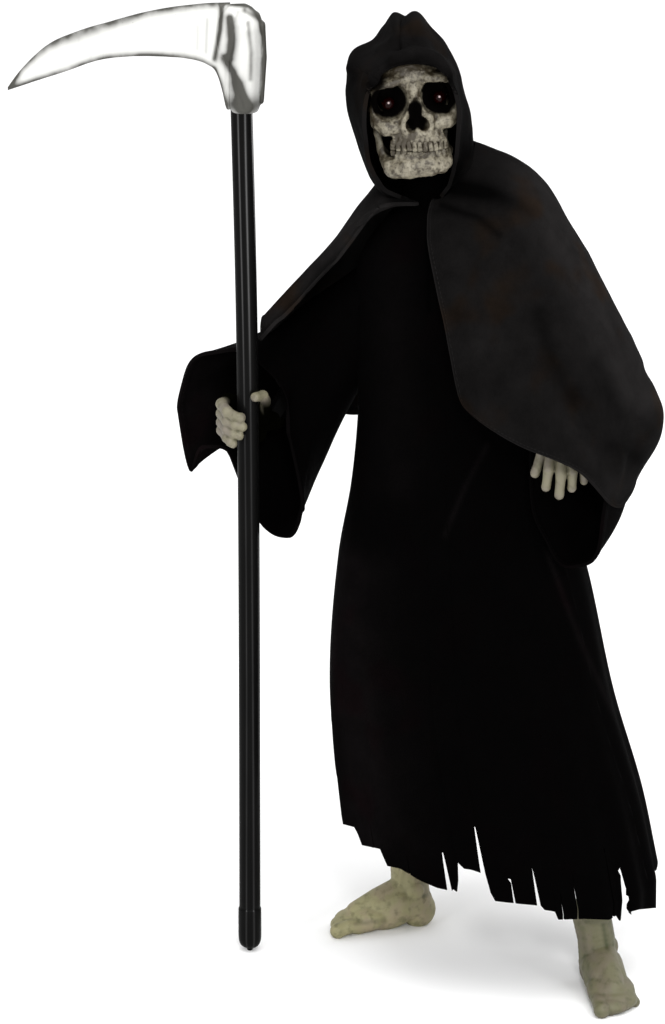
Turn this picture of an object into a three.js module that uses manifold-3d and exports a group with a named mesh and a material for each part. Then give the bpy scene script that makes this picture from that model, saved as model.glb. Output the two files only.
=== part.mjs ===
// A twelve-inch hooded skeleton figure with a scythe, dressed in real sewn cloth.
// Millimetres, +Z up. The viewer of the photograph looks along +Y, with +X to the right.
// "right" and "left" in names are the figure's own: its right hand holds the scythe.

import * as THREE from 'three';
import { mergeVertices } from 'three/addons/utils/BufferGeometryUtils.js';
import Module from 'manifold-3d';

const wasm = await Module();
wasm.setup();

// Driving dimensions

const GAP = 0.35;

const HEAD = { centre: [24, -2, 275.5], roll: -6, yaw: 5 };
const CRANIUM = { centre: [0, 2, 3.4], half: [12.3, 16.8, 14.2] };
const FACE = { centre: [0, -9, -4.5], half: [11.2, 7.6, 11.5] };
const CHEEKBONE = { x: 10.9, y: -9.6, z: -6.4, half: [3.1, 4.6, 3.4] };
const CHEEK_ARCH = { x: 12.5, y: -1.5, z: -6.4, half: [1.3, 8.5, 1.9] };
const BROW = { x: 7.2, y: -13.2, z: 5.2, half: [6.4, 2.8, 2.1] };
const UPPER_JAW = { centre: [0, -11, -12], half: [7.8, 6.4, 5.2] };
const EYE_SOCKET = { x: 7.4, y: -17, half: [5.2, 7.4, 4.9], tilt: 12 };
const NOSE = { top: -3.6, foot: -9.2, halfWidth: 1.9, depth: 4.4 };
const CHEEK_HOLLOW = { x: 11.6, y: -9.6, z: -14.2, half: [3.1, 6.6, 4.1] };
const JAW = { chinY: -15.2, chinZ: -22.6, biteZ: -15.9, halfWidth: 9.4, height: 6.2, ramusZ: -7.5 };
const TEETH = { count: 6, arcHalfWidth: 8, frontY: -17.7, backY: -13, height: 3.1, width: 2.3 };
const EYE = { radius: 1.75, y: -12.4 };

const SHOULDER = { right: [17, 6, 220], left: [52, 5, 221] };
const ELBOW = { right: [-5, 23, 187], left: [81, 0, 188] };
const WRIST = { right: [-17.5, 15.5, 168.5], left: [74, -21, 176.4] };
const HIP = { right: [33, 4, 134], left: [49, 1, 134] };
const KNEE = { right: [28, 14, 76], left: [66, -17, 76] };
const ANKLE = { right: [24.4, 28.7, 26], left: [80.9, -21.8, 31] };
const NECK = { foot: [30, 5, 232], top: [25.5, 1, 263.5], radius: 5.4 };

const FOOT = {
  length: 35.5, heelHalfWidth: 4.9, ballHalfWidth: 7.5, instep: 12, ankleRadius: 6.4, height: 30,
};
const FOOT_PLACE = {
  right: { heel: [32, 30.6], turn: -76, side: -1 },
  left: { heel: [79.4, -14.5], turn: 12, side: 1 },
};

const SHAFT = { radius: 3.25, path: [[-25.4, 7, 3], [-25.2, 5, 125], [-25.6, 3, 205], [-27, 1, 277]] };
const SOCKET = { footZ: 268, topZ: 300.6, footX: -25.9, topX: -25.6, halfWidth: 5.2, halfDepth: 4.7 };
const BLADE = {
  rootX: -30,
  tipX: -96.6,
  tipZ: 275.6,
  spineRise: 26.2,
  rootDepth: 17.4,
  bellyRise: 9.4,
  thickness: 3,
};

const CLOTH = 1.1;
const ROBE = [
  { z: 31, centre: [52.4, -4], half: [46.4, 40], ripple: 0.05 },
  { z: 56, centre: [47.8, -3], half: [46, 36], ripple: 0.05 },
  { z: 86, centre: [42, -0.4], half: [43.2, 31], ripple: 0.04 },
  { z: 130, centre: [37.6, 2], half: [38.2, 24.5], ripple: 0.03 },
  { z: 152, centre: [36.8, 2], half: [31.4, 21], ripple: 0.02 },
  { z: 174, centre: [36.5, 2.6], half: [29, 19.5], ripple: 0 },
  { z: 224, centre: [34.3, 5], half: [25.5, 15.4], ripple: 0 },
  { z: 235, centre: [32, 5], half: [15.5, 11.5], ripple: 0 },
  { z: 240, centre: [30, 4.6], half: [9.6, 9.4], ripple: 0 },
];
const ROBE_COLUMNS = 28;
const ROBE_PLEATS = 7;
const HEM = { rise: 15, ragged: 2.6, slits: 11, slitHeight: 13, slitWidth: 1.5 };
// Sleeve sections: turn is the sideways direction, in degrees from -X towards +Y; half holds the
// half-width, the height above, and the depth below on the near side and on the far side.
const RIGHT_SLEEVE = [
  { centre: [20, 5, 216], turn: 100, half: [12, 12, 14, 14], lean: 0 },
  { centre: [4, 14, 202], turn: 100, half: [13, 12, 29, 27], lean: 0.04 },
  { centre: [-8, 19, 190], turn: 85, half: [14.5, 13, 35, 30], lean: 0.12 },
  { centre: [-19.5, 19, 178], turn: 62, half: [17, 16, 39, 28], lean: 0.2 },
  { centre: [-29.5, 14.5, 168], turn: 39, half: [21.5, 23, 38, 19], lean: 0.24 },
];
const LEFT_SLEEVE = [
  { centre: [49, 5, 218], turn: 90, half: [12, 11, 14, 14], lean: 0 },
  { centre: [65, 4, 205], turn: 112, half: [10, 9, 18, 18], lean: 0 },
  { centre: [78.5, -1, 190], turn: 150, half: [9.5, 8.5, 27, 27], lean: 0 },
  { centre: [79, -13, 180], turn: 185, half: [11, 9, 34, 34], lean: 0 },
  { centre: [70, -24, 173], turn: 215, half: [13.5, 8.8, 38, 38], lean: 0 },
];
const SLEEVE_COLUMNS = 12;

const CAPE_NECK = { centre: [29, 5], radius: 13.1 };
// Each rib runs from the neck over shoulder and arm to the hem: turn in degrees from the
// front towards the left arm, at the neck and at the hem, then [reach, height] at the rings.
const CAPE_RIBS = [
  { turn: [3, 14], neckZ: 243.6, shoulder: [19, 234], bend: [29, 213], hem: [40, 186] },
  { turn: [20, 28], neckZ: 245, shoulder: [25, 237], bend: [40, 212], hem: [53, 183] },
  { turn: [42, 41], neckZ: 249, shoulder: [31, 241], bend: [53, 207], hem: [65, 174] },
  { turn: [64, 58], neckZ: 253, shoulder: [34, 244], bend: [64, 196], hem: [66, 161] },
  { turn: [90, 80], neckZ: 256, shoulder: [36, 243.5], bend: [71.5, 181], hem: [59.5, 149] },
  { turn: [116, 108], neckZ: 255, shoulder: [35, 242], bend: [64, 188], hem: [57, 151] },
  { turn: [148, 142], neckZ: 252, shoulder: [30, 240], bend: [48, 195], hem: [50, 156] },
  { turn: [180, 180], neckZ: 250, shoulder: [26, 238], bend: [38, 199], hem: [43, 159] },
  { turn: [212, 215], neckZ: 249.5, shoulder: [26, 235], bend: [42, 200], hem: [47, 163] },
  { turn: [245, 243], neckZ: 248, shoulder: [25, 234], bend: [42, 207], hem: [51, 175] },
  { turn: [285, 258], neckZ: 247, shoulder: [24, 234], bend: [38.5, 216], hem: [51, 200] },
  { turn: [335, 271], neckZ: 244.6, shoulder: [20, 231], bend: [36, 213.5], hem: [50, 197.5] },
];
const CAPE_TENSION = 0.28;
const CAPE_COLUMNS = 24;
const CAPE_ROWS = 6;

const HOOD = [
  { z: 243.4, centre: [28.6, 4], half: [14, 13.6] },
  { z: 251, centre: [26.6, 2], half: [16.6, 17.8] },
  { z: 264, centre: [23.4, 1.2], half: [18, 20.2] },
  { z: 277, centre: [21.4, 0.8], half: [17.8, 20.6] },
  { z: 283.5, centre: [20.6, 0.4], half: [15.4, 19] },
  { z: 289, centre: [21.4, 0], half: [10.9, 15.6] },
  { z: 293.5, centre: [21.6, 0], half: [7.2, 11.5] },
  { z: 296.6, centre: [21.9, 0], half: [4.2, 7.5] },
];
const HOOD_COLUMNS = 18;
const HOOD_POINTS = { x: 3, z: 296, radius: 1.9, halfLength: 5 };
const FACE_OPENING = { centre: [24.4, 268.4], half: [15.2, 17.2], back: -5, roll: -6 };

// Helpers for points, closed surfaces and solids

const point = ([x, y, z]) => new THREE.Vector3(x, y, z);
const radians = THREE.MathUtils.degToRad;
const lerp = THREE.MathUtils.lerp;

function signedVolume(vertices, triangles) {
  let total = 0;
  for (const [a, b, c] of triangles) {
    const cross = new THREE.Vector3().crossVectors(vertices[b], vertices[c]);
    total += vertices[a].dot(cross) / 6;
  }
  return total;
}

function geometryFrom(vertices, triangles) {
  const flip = signedVolume(vertices, triangles) < 0;
  const faces = triangles.map(([a, b, c]) => (flip ? [a, c, b] : [a, b, c]));
  const geometry = new THREE.BufferGeometry();
  const numbers = vertices.flatMap((vertex) => [vertex.x, vertex.y, vertex.z]);
  geometry.setAttribute('position', new THREE.Float32BufferAttribute(numbers, 3));
  geometry.setIndex(faces.flat());
  return geometry;
}

// A closed body through rings of points, each end capped by a fan to its middle.
function loft(rings) {
  const count = rings[0].length;
  const vertices = rings.flat();
  const triangles = [];
  for (let row = 0; row + 1 < rings.length; row += 1) {
    for (let i = 0; i < count; i += 1) {
      const a = row * count + i;
      const b = row * count + ((i + 1) % count);
      triangles.push([a, b, b + count], [a, b + count, a + count]);
    }
  }
  for (const [row, flip] of [[0, true], [rings.length - 1, false]]) {
    const middle = new THREE.Vector3();
    rings[row].forEach((vertex) => middle.add(vertex));
    vertices.push(middle.divideScalar(count));
    for (let i = 0; i < count; i += 1) {
      const a = row * count + i;
      const b = row * count + ((i + 1) % count);
      triangles.push(flip ? [vertices.length - 1, b, a] : [vertices.length - 1, a, b]);
    }
  }
  return geometryFrom(vertices, triangles);
}

// A cloth sheet of even thickness: a grid of points, and the same grid set in along its normals.
function sheet(grid, thickness) {
  const rows = grid.length;
  const columns = grid[0].length;
  const at = (row, column) => row * columns + column;
  const clampRow = (row) => Math.min(Math.max(row, 0), rows - 1);
  const clampColumn = (column) => Math.min(Math.max(column, 0), columns - 1);
  const inner = grid.map((line, row) => line.map((vertex, column) => {
    const along = grid[row][clampColumn(column + 1)].clone().sub(grid[row][clampColumn(column - 1)]);
    const down = grid[clampRow(row + 1)][column].clone().sub(grid[clampRow(row - 1)][column]);
    const normal = along.cross(down).normalize();
    return vertex.clone().addScaledVector(normal, thickness);
  }));
  const vertices = [...grid.flat(), ...inner.flat()];
  const offset = rows * columns;
  const triangles = [];
  const quad = (a, b, c, d) => triangles.push([a, b, c], [a, c, d]);
  for (let row = 0; row + 1 < rows; row += 1) {
    for (let column = 0; column + 1 < columns; column += 1) {
      const corners = [at(row, column), at(row, column + 1), at(row + 1, column + 1), at(row + 1, column)];
      quad(...corners);
      quad(...corners.map((index) => index + offset).reverse());
    }
    const last = columns - 1;
    quad(at(row, 0), at(row + 1, 0), at(row + 1, 0) + offset, at(row, 0) + offset);
    quad(at(row + 1, last), at(row, last), at(row, last) + offset, at(row + 1, last) + offset);
  }
  for (let column = 0; column + 1 < columns; column += 1) {
    const last = rows - 1;
    quad(at(0, column + 1), at(0, column), at(0, column) + offset, at(0, column + 1) + offset);
    quad(at(last, column), at(last, column + 1), at(last, column + 1) + offset, at(last, column) + offset);
  }
  return geometryFrom(vertices, triangles);
}

function solidOf(geometry) {
  const bare = geometry.clone();
  bare.deleteAttribute('normal');
  bare.deleteAttribute('uv');
  const merged = mergeVertices(bare, 1e-4);
  return new wasm.Manifold(new wasm.Mesh({
    numProp: 3,
    vertProperties: Float32Array.from(merged.attributes.position.array),
    triVerts: Uint32Array.from(merged.index.array),
  }));
}

function geometryOf(solid) {
  const mesh = solid.getMesh();
  const geometry = new THREE.BufferGeometry();
  geometry.setAttribute('position', new THREE.BufferAttribute(mesh.vertProperties, 3));
  geometry.setIndex(new THREE.BufferAttribute(mesh.triVerts, 1));
  return geometry;
}

const joined = (solids) => solids.reduce((whole, solid) => whole.add(solid));

function ellipsoid(centre, half, sides = 12, tilt = 0) {
  const geometry = new THREE.SphereGeometry(1, sides, Math.round(sides * 0.6));
  geometry.scale(...half);
  geometry.rotateY(radians(tilt));
  geometry.translate(...centre);
  return solidOf(geometry);
}

function box(centre, size, turn = 0) {
  const geometry = new THREE.BoxGeometry(...size);
  geometry.rotateZ(radians(turn));
  geometry.translate(...centre);
  return solidOf(geometry);
}

// A limb or finger through its joints; a waist under 1 narrows each bone halfway along.
function limb(joints, radii, sides, waist = 0.86) {
  const places = joints.map(point);
  const stations = [];
  places.forEach((place, i) => {
    const next = places[Math.min(i + 1, places.length - 1)];
    const previous = places[Math.max(i - 1, 0)];
    const axis = next.clone().sub(previous).normalize();
    stations.push({ place, axis, radius: radii[i] });
    if (waist < 1 && i + 1 < places.length) {
      const radius = (radii[i] + radii[i + 1]) / 2 * waist;
      const axis = next.clone().sub(place).normalize();
      stations.push({ place: place.clone().lerp(next, 0.5), axis, radius });
    }
  });
  const first = stations[0];
  const last = stations[stations.length - 1];
  const tip = last.place.clone().addScaledVector(last.axis, last.radius * 0.8);
  const root = first.place.clone().addScaledVector(first.axis, -first.radius * 0.5);
  stations.push({ place: tip, axis: last.axis, radius: last.radius * 0.45 });
  stations.unshift({ place: root, axis: first.axis, radius: first.radius * 0.6 });
  const across = Math.abs(first.axis.x) < 0.7 ? new THREE.Vector3(1, 0, 0) : new THREE.Vector3(0, 1, 0);
  const spoke = across.cross(first.axis).normalize();
  let before = first.axis;
  return solidOf(loft(stations.map(({ place, axis, radius }) => {
    spoke.applyQuaternion(new THREE.Quaternion().setFromUnitVectors(before, axis));
    before = axis;
    return Array.from({ length: sides }, (_, i) => (
      spoke.clone().applyAxisAngle(axis, i / sides * Math.PI * 2).multiplyScalar(radius).add(place)
    ));
  })));
}

function mesh(name, shape, material) {
  const geometry = shape.isBufferGeometry ? shape : geometryOf(shape);
  const result = new THREE.Mesh(geometry, material);
  result.name = name;
  return result;
}

// Materials

const blackCloth = () => new THREE.MeshStandardMaterial({ color: 0x141213, roughness: 0.95, metalness: 0 });
const boneMaterial = () => new THREE.MeshStandardMaterial({ color: 0xb3ac92, roughness: 0.6, metalness: 0 });
const fleshMaterial = () => new THREE.MeshStandardMaterial({ color: 0x8c8a6c, roughness: 0.6, metalness: 0 });
const dollMaterial = () => new THREE.MeshStandardMaterial({ color: 0x4a4a44, roughness: 0.5, metalness: 0 });
const jewelMaterial = () => new THREE.MeshStandardMaterial({ color: 0x9c0f0a, roughness: 0.1, metalness: 0 });
const shaftMaterial = () =>
  new THREE.MeshStandardMaterial({ color: 0x0b0b0c, roughness: 0.15, metalness: 0 });
const bladeMaterial = () =>
  new THREE.MeshStandardMaterial({ color: 0xc9c9c7, roughness: 0.3, metalness: 0.9 });

// Head

function headTransform(solid) {
  const geometry = geometryOf(solid);
  geometry.rotateY(radians(HEAD.roll));
  geometry.rotateZ(radians(HEAD.yaw));
  geometry.translate(...HEAD.centre);
  return geometry;
}

const mirrored = (make) => [-1, 1].map((side) => make(side));

function lowerJaw(grow) {
  const { chinY, chinZ, biteZ, halfWidth, height, ramusZ } = JAW;
  const half = [
    { place: [halfWidth + 1.4, -1.4, ramusZ], radius: 1.7 },
    { place: [halfWidth + 0.4, -3.4, chinZ + 5.4], radius: 2.5 },
    { place: [halfWidth - 1.8, chinY + 1.6, chinZ + height / 2], radius: 3 },
  ];
  const mirror = ({ place: [x, y, z], radius }) => ({ place: [-x, y, z], radius });
  const arch = [
    ...half,
    { place: [0, chinY, chinZ + height / 2], radius: 3.2 },
    ...half.map(mirror).reverse(),
  ];
  const chinHalf = [halfWidth - 1.4, 3.6, height * 0.62].map((size) => size + grow);
  const chin = ellipsoid([0, chinY + 2, (chinZ + biteZ) / 2], chinHalf, 7);
  return limb(arch.map(({ place }) => place), arch.map(({ radius }) => radius + grow), 6, 1).add(chin);
}

function toothRow(sign) {
  const { count, arcHalfWidth, frontY, backY, height, width } = TEETH;
  const teeth = [];
  for (let i = 0; i < count; i += 1) {
    const across = (i + 0.5) / count * 2 - 1;
    const x = across * arcHalfWidth;
    const y = lerp(frontY, backY, across * across) + 0.9;
    const z = JAW.biteZ + sign * (height / 2 + 0.12);
    teeth.push(box([x, y, z], [width, 2, height], across * 42));
  }
  return joined(teeth);
}

function skull() {
  const bonework = joined([
    ellipsoid(CRANIUM.centre, CRANIUM.half, 13),
    ellipsoid(FACE.centre, FACE.half, 9),
    ellipsoid(UPPER_JAW.centre, UPPER_JAW.half, 8),
    ...mirrored((side) => ellipsoid([side * CHEEKBONE.x, CHEEKBONE.y, CHEEKBONE.z], CHEEKBONE.half, 7)),
    ...mirrored((side) => ellipsoid([side * CHEEK_ARCH.x, CHEEK_ARCH.y, CHEEK_ARCH.z], CHEEK_ARCH.half, 5)),
    ...mirrored((side) => ellipsoid([side * BROW.x, BROW.y, BROW.z], BROW.half, 7, side * 10)),
    lowerJaw(0),
  ]);
  const hollows = joined([
    ...mirrored((side) =>
      ellipsoid([side * EYE_SOCKET.x, EYE_SOCKET.y, 0], EYE_SOCKET.half, 8, side * -EYE_SOCKET.tilt)),
    ...mirrored((side) => ellipsoid([side * NOSE.halfWidth, -17, NOSE.foot], [2.1, NOSE.depth, 2.8], 6)),
    ellipsoid([0, -17, NOSE.top], [1.8, NOSE.depth, 5], 6),
    ...mirrored((side) =>
      ellipsoid([side * CHEEK_HOLLOW.x, CHEEK_HOLLOW.y, CHEEK_HOLLOW.z], CHEEK_HOLLOW.half, 7)),
  ]);
  const neckRoom = limb([[1.5, 3, -34], [1.5, 3, -9]], [NECK.radius + 1.2, NECK.radius + 1.2], 10, 1);
  const cut = bonework.subtract(hollows).subtract(neckRoom);
  return headTransform(cut.add(toothRow(1)).add(toothRow(-1)));
}

function eye(side) {
  return headTransform(ellipsoid([side * EYE_SOCKET.x, EYE.y, 0], [EYE.radius, EYE.radius, EYE.radius], 6));
}

// The room that the hood leaves for the cranium and the jaw.
function headRoom() {
  const grown = CRANIUM.half.map((size) => size + GAP);
  return solidOf(headTransform(ellipsoid(CRANIUM.centre, grown, 13).add(lowerJaw(GAP))));
}

// Hidden body

function dollBody(grow) {
  const torso = loft([
    { z: 128, centre: [41, 3], half: [15, 11] },
    { z: 142, centre: [40.5, 3], half: [17, 12] },
    { z: 165, centre: [38, 3.5], half: [15, 11] },
    { z: 195, centre: [36, 4], half: [18, 12.5] },
    { z: 216, centre: [35, 4.6], half: [19, 11.5] },
    { z: 230, centre: [33, 5], half: [11, 8] },
  ].map(({ z, centre, half }) => ellipseRing(z, centre, half.map((size) => size + grow), 10)));
  const grown = (radii) => radii.map((radius) => radius + grow);
  const limbs = ['right', 'left'].flatMap((side) => [
    limb([SHOULDER[side], ELBOW[side], WRIST[side]], grown([6.4, 4.8, 3.2]), 6, 1),
    limb([HIP[side], KNEE[side], ANKLE[side]], grown([8.4, 6.4, 4.2]), 6, 1),
  ]);
  const neck = limb([NECK.foot, NECK.top], grown([NECK.radius, NECK.radius - 0.6]), 7, 1);
  return joined([solidOf(torso), neck, ...limbs]);
}

// A superellipse's radius over an ellipse's: 1 on the axes, more towards the corners.
const squarer = (power) => (angle) => (
  (Math.abs(Math.cos(angle)) ** power + Math.abs(Math.sin(angle)) ** power) ** (-1 / power)
);

function ellipseRing(z, [x, y], [halfX, halfY], count, shape = () => 1) {
  return Array.from({ length: count }, (_, i) => {
    const angle = i / count * Math.PI * 2;
    const scale = shape(angle);
    return new THREE.Vector3(x + halfX * scale * Math.cos(angle), y + halfY * scale * Math.sin(angle), z);
  });
}

// Hands

function grippingHand() {
  const [cx, cy] = [-25.35, 4];
  const place = (x, y, z) => [cx + x, cy + y, z];
  const palm = limb([WRIST.right, place(4, 10.6, 167.6), place(-3.4, 9.6, 168)], [3.6, 4.8, 4.4], 6, 1);
  const fingers = [173.6, 170.2, 166.8, 163.6].map((z, finger) => {
    const radius = 1.95 - finger * 0.08;
    return limb([
      place(-0.6, 10.4, z - 0.6),
      place(-6.4, 7, z),
      place(-8.4, 0.6, z - 0.6),
      place(-5.6, -4.8, z - 0.9),
      place(-0.6, -5.4, z - 1.2),
    ], [2.3, radius + 0.2, radius, radius - 0.2, radius - 0.4], 5);
  });
  const thumb = limb([
    place(4, 11, 164.6),
    place(6.4, 4.6, 170.6),
    place(4.8, -1.6, 175.2),
    place(2, -4, 177.4),
  ], [2.8, 2.1, 1.9, 1.5], 5);
  const hand = joined([palm, ...fingers, thumb]);
  return hand.subtract(sweptShaft(SHAFT.radius + GAP, 8)).subtract(dollBody(GAP));
}

function hangingHand() {
  const palm = limb([WRIST.left, [71.5, -26, 175.2], [69.4, -28.4, 173.6]], [3, 4, 4.2], 7, 1);
  const fingers = [
    { knuckle: [64.4, -29.4, 173.4], tipX: 63, tipZ: 161.2, radius: 1.6 },
    { knuckle: [67.6, -30.2, 173.2], tipX: 66.8, tipZ: 159, radius: 1.65 },
    { knuckle: [70.8, -29.8, 172.8], tipX: 70.6, tipZ: 161, radius: 1.55 },
    { knuckle: [73.8, -28.8, 172], tipX: 74.2, tipZ: 162.6, radius: 1.4 },
  ].map(({ knuckle, tipX, tipZ, radius }) => {
    const [x, y, z] = knuckle;
    const reach = z - tipZ;
    return limb([
      [70, -27.4, 175.4],
      knuckle,
      [lerp(x, tipX, 0.5), y - 2.8, z - reach * 0.52],
      [tipX, y - 1.4, tipZ],
    ], [2.4, radius + 0.35, radius + 0.1, radius - 0.2], 5);
  });
  const thumb = limb([[68, -26, 175], [61.6, -27.4, 171.4], [59.4, -28.6, 164.4]], [2.6, 1.9, 1.4], 5);
  return joined([palm, ...fingers, thumb]).subtract(dollBody(GAP));
}

// Feet: the sole lies flat at Z = 0

function foot(side) {
  const { heel, turn, side: outward } = FOOT_PLACE[side];
  const { length, heelHalfWidth, ballHalfWidth, instep, ankleRadius, height } = FOOT;
  const sections = [
    { along: 0.8, halfWidth: heelHalfWidth * 0.72, top: 8.4 },
    { along: 4, halfWidth: heelHalfWidth, top: instep + 1 },
    { along: 12, halfWidth: heelHalfWidth + 0.4, top: instep },
    { along: 20, halfWidth: ballHalfWidth - 0.9, top: 7.6 },
    { along: 26, halfWidth: ballHalfWidth, top: 5 },
    { along: 30, halfWidth: ballHalfWidth - 0.6, top: 3.8 },
  ];
  const body = solidOf(loft(sections.map(({ along, halfWidth, top }) => (
    Array.from({ length: 8 }, (_, i) => {
      const angle = i / 8 * Math.PI * 2;
      const rise = top * 0.42 + top * 0.58 * Math.sin(angle);
      return new THREE.Vector3(halfWidth * Math.cos(angle), -along, rise);
    })
  ))));
  const toes = Array.from({ length: 5 }, (_, toe) => {
    const across = outward * lerp(-0.76, 0.84, toe / 4) * ballHalfWidth;
    const radius = toe === 0 ? 2.3 : 1.75 - toe * 0.08;
    const reach = length - 1.6 - toe * 1.6;
    const joints = [[across * 0.9, -24, 3.2], [across, -reach + 1, radius * 0.9]];
    return limb(joints, [radius, radius * 0.85], 5, 1);
  });
  const tendons = Array.from({ length: 3 }, (_, toe) => {
    const across = outward * lerp(-0.5, 0.5, toe / 2) * ballHalfWidth;
    return limb([[across * 0.4, -11, instep - 1.4], [across, -25, 4.2]], [1.1, 0.9], 4, 1);
  });
  const shin = limb([[0, -8, 5], [0, -7.6, height]], [ankleRadius, ankleRadius - 1.4], 8, 0.84);
  const ankleBones = mirrored((end) => ellipsoid([end * (ankleRadius - 1), -7, 13], [1.8, 2.6, 2.6], 5));
  const floorToShin = box([0, -15, height / 2 + 0.1], [40, 60, height]);
  const trimmed = joined([body, shin, ...toes, ...tendons, ...ankleBones]).intersect(floorToShin);
  const geometry = geometryOf(trimmed);
  geometry.rotateZ(radians(turn));
  geometry.translate(heel[0], heel[1], -0.1);
  return solidOf(geometry).subtract(dollBody(GAP));
}

// Scythe

function sweptShaft(radius, sides) {
  const path = new THREE.CatmullRomCurve3(SHAFT.path.map(point));
  const outline = new THREE.Shape();
  for (let i = 0; i < sides; i += 1) {
    const angle = i / sides * Math.PI * 2;
    const place = [radius * Math.cos(angle), radius * Math.sin(angle)];
    if (i === 0) {
      outline.moveTo(...place);
    } else {
      outline.lineTo(...place);
    }
  }
  outline.closePath();
  return solidOf(new THREE.ExtrudeGeometry(outline, { steps: 6, extrudePath: path }));
}

function scytheShaft() {
  const [tipX, tipY, tipZ] = SHAFT.path[0];
  const { radius } = SHAFT;
  const cap = new THREE.LatheGeometry([
    [0, -3],
    [0.9, -3],
    [0.9, -2.4],
    [2.2, -1.8],
    [radius + 0.25, -0.2],
    [radius + 0.25, 11],
    [radius - 0.4, 11.4],
    [0, 11.4],
  ].map(([r, z]) => new THREE.Vector2(r, z)), 10);
  cap.rotateX(Math.PI / 2);
  cap.translate(tipX, tipY, tipZ);
  return sweptShaft(radius, 12).add(solidOf(cap));
}

function bladeSection(t) {
  const { rootX, tipX, tipZ, spineRise, rootDepth, bellyRise, thickness } = BLADE;
  const x = lerp(rootX, tipX, t);
  const spineZ = tipZ + spineRise * Math.sqrt(Math.max(0, 1 - t ** 2.25)) ** 1.05;
  const bellyZ = tipZ + bellyRise * Math.sin(Math.PI * (1 - t) ** 0.8) ** 0.9 * 0.98;
  const depth = spineZ - bellyZ;
  const half = thickness / 2 * lerp(1, 0.35, t);
  const ridgeZ = spineZ - depth * 0.3;
  const edgeZ = t < 0.12 ? lerp(spineZ - rootDepth, bellyZ, t / 0.12) : bellyZ;
  return [
    [x, -half * 0.7, spineZ],
    [x, half * 0.7, spineZ],
    [x, half, ridgeZ],
    [x, 0.3, edgeZ],
    [x, -0.3, edgeZ],
    [x, -half, ridgeZ],
  ].map(point);
}

function scytheBlade() {
  const { footZ, topZ, footX, topX, halfWidth, halfDepth } = SOCKET;
  const bladeRows = 12;
  const blade = loft(Array.from({ length: bladeRows + 1 }, (_, i) => bladeSection(0.985 * i / bladeRows)));
  const socketRows = [
    { rise: 0, wide: 0.98, deep: 1 },
    { rise: 0.05, wide: 1.05, deep: 1.06 },
    { rise: 0.12, wide: 0.98, deep: 1 },
    { rise: 0.45, wide: 1.08, deep: 0.94 },
    { rise: 0.62, wide: 1.2, deep: 0.9 },
    { rise: 0.8, wide: 1.12, deep: 0.8 },
    { rise: 0.94, wide: 0.95, deep: 0.62 },
    { rise: 1, wide: 0.7, deep: 0.36 },
  ];
  const socket = loft(socketRows.map(({ rise, wide, deep }) => ellipseRing(
    lerp(footZ, topZ, rise),
    [lerp(footX, topX, rise), 1],
    [halfWidth * wide, halfDepth * deep],
    12,
  )));
  const shoulder = loft([
    { z: 276, centre: [-28.6, 1], half: [3, 2.2] },
    { z: 284, centre: [-31.5, 1], half: [5, 2.4] },
    { z: 292, centre: [-32, 1], half: [6, 2.2] },
    { z: 299, centre: [-31, 1], half: [5, 1.4] },
  ].map(({ z, centre, half }) => ellipseRing(z, centre, half, 8)));
  const bladeSolid = solidOf(blade.translate(0, 1, 0));
  const casting = joined([solidOf(socket), solidOf(shoulder), bladeSolid]);
  return casting.subtract(sweptShaft(SHAFT.radius + GAP, 12));
}

// Robe

function raggedHem(angle) {
  const { rise, ragged } = HEM;
  const towardsBackFoot = (1 - Math.cos(angle + 0.5)) / 2;
  return rise * towardsBackFoot - ragged / 2 * (Math.sin(11 * angle) + Math.sin(17 * angle + 1));
}

function robeTrunk(inset, openEnds) {
  const rings = ROBE.map(({ z, centre, half, ripple }, row) => {
    const pleat = (angle) => 1 + ripple * Math.sin(ROBE_PLEATS * angle + z * 0.012);
    const ring = ellipseRing(z, centre, half.map((size) => size - inset), ROBE_COLUMNS, pleat);
    if (row === 0) {
      ring.forEach((vertex, i) => {
        vertex.z += openEnds ? -14 : raggedHem(i / ROBE_COLUMNS * Math.PI * 2);
      });
    }
    if (openEnds && row === ROBE.length - 1) {
      ring.forEach((vertex) => {
        vertex.z += 3;
      });
    }
    return ring;
  });
  return solidOf(loft(rings));
}

function sleeve(stations, inset, extend) {
  const mouth = point(stations[stations.length - 1].centre);
  const outwards = mouth.sub(point(stations[stations.length - 2].centre)).normalize();
  const rings = stations.map(({ centre, turn, half, lean }, row) => {
    const side = new THREE.Vector3(-Math.cos(radians(turn)), Math.sin(radians(turn)), 0);
    const reach = extend && row === stations.length - 1 ? 3 : 0;
    const middle = point(centre).addScaledVector(outwards, reach);
    const [wide, above, belowNear, belowFar] = half.map((size) => size - inset);
    return Array.from({ length: SLEEVE_COLUMNS }, (_, i) => {
      const angle = i / SLEEVE_COLUMNS * Math.PI * 2;
      const [across, rise] = [Math.cos(angle), Math.sin(angle)];
      const below = across > 0 ? belowFar : belowNear;
      const height = rise > 0 ? above * rise : -below * Math.abs(rise) ** 0.8;
      const ringPoint = middle.clone().addScaledVector(side, wide * across);
      ringPoint.z += height;
      ringPoint.x -= Math.min(0, height) * lean;
      return ringPoint;
    });
  });
  return solidOf(loft(rings));
}

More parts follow.
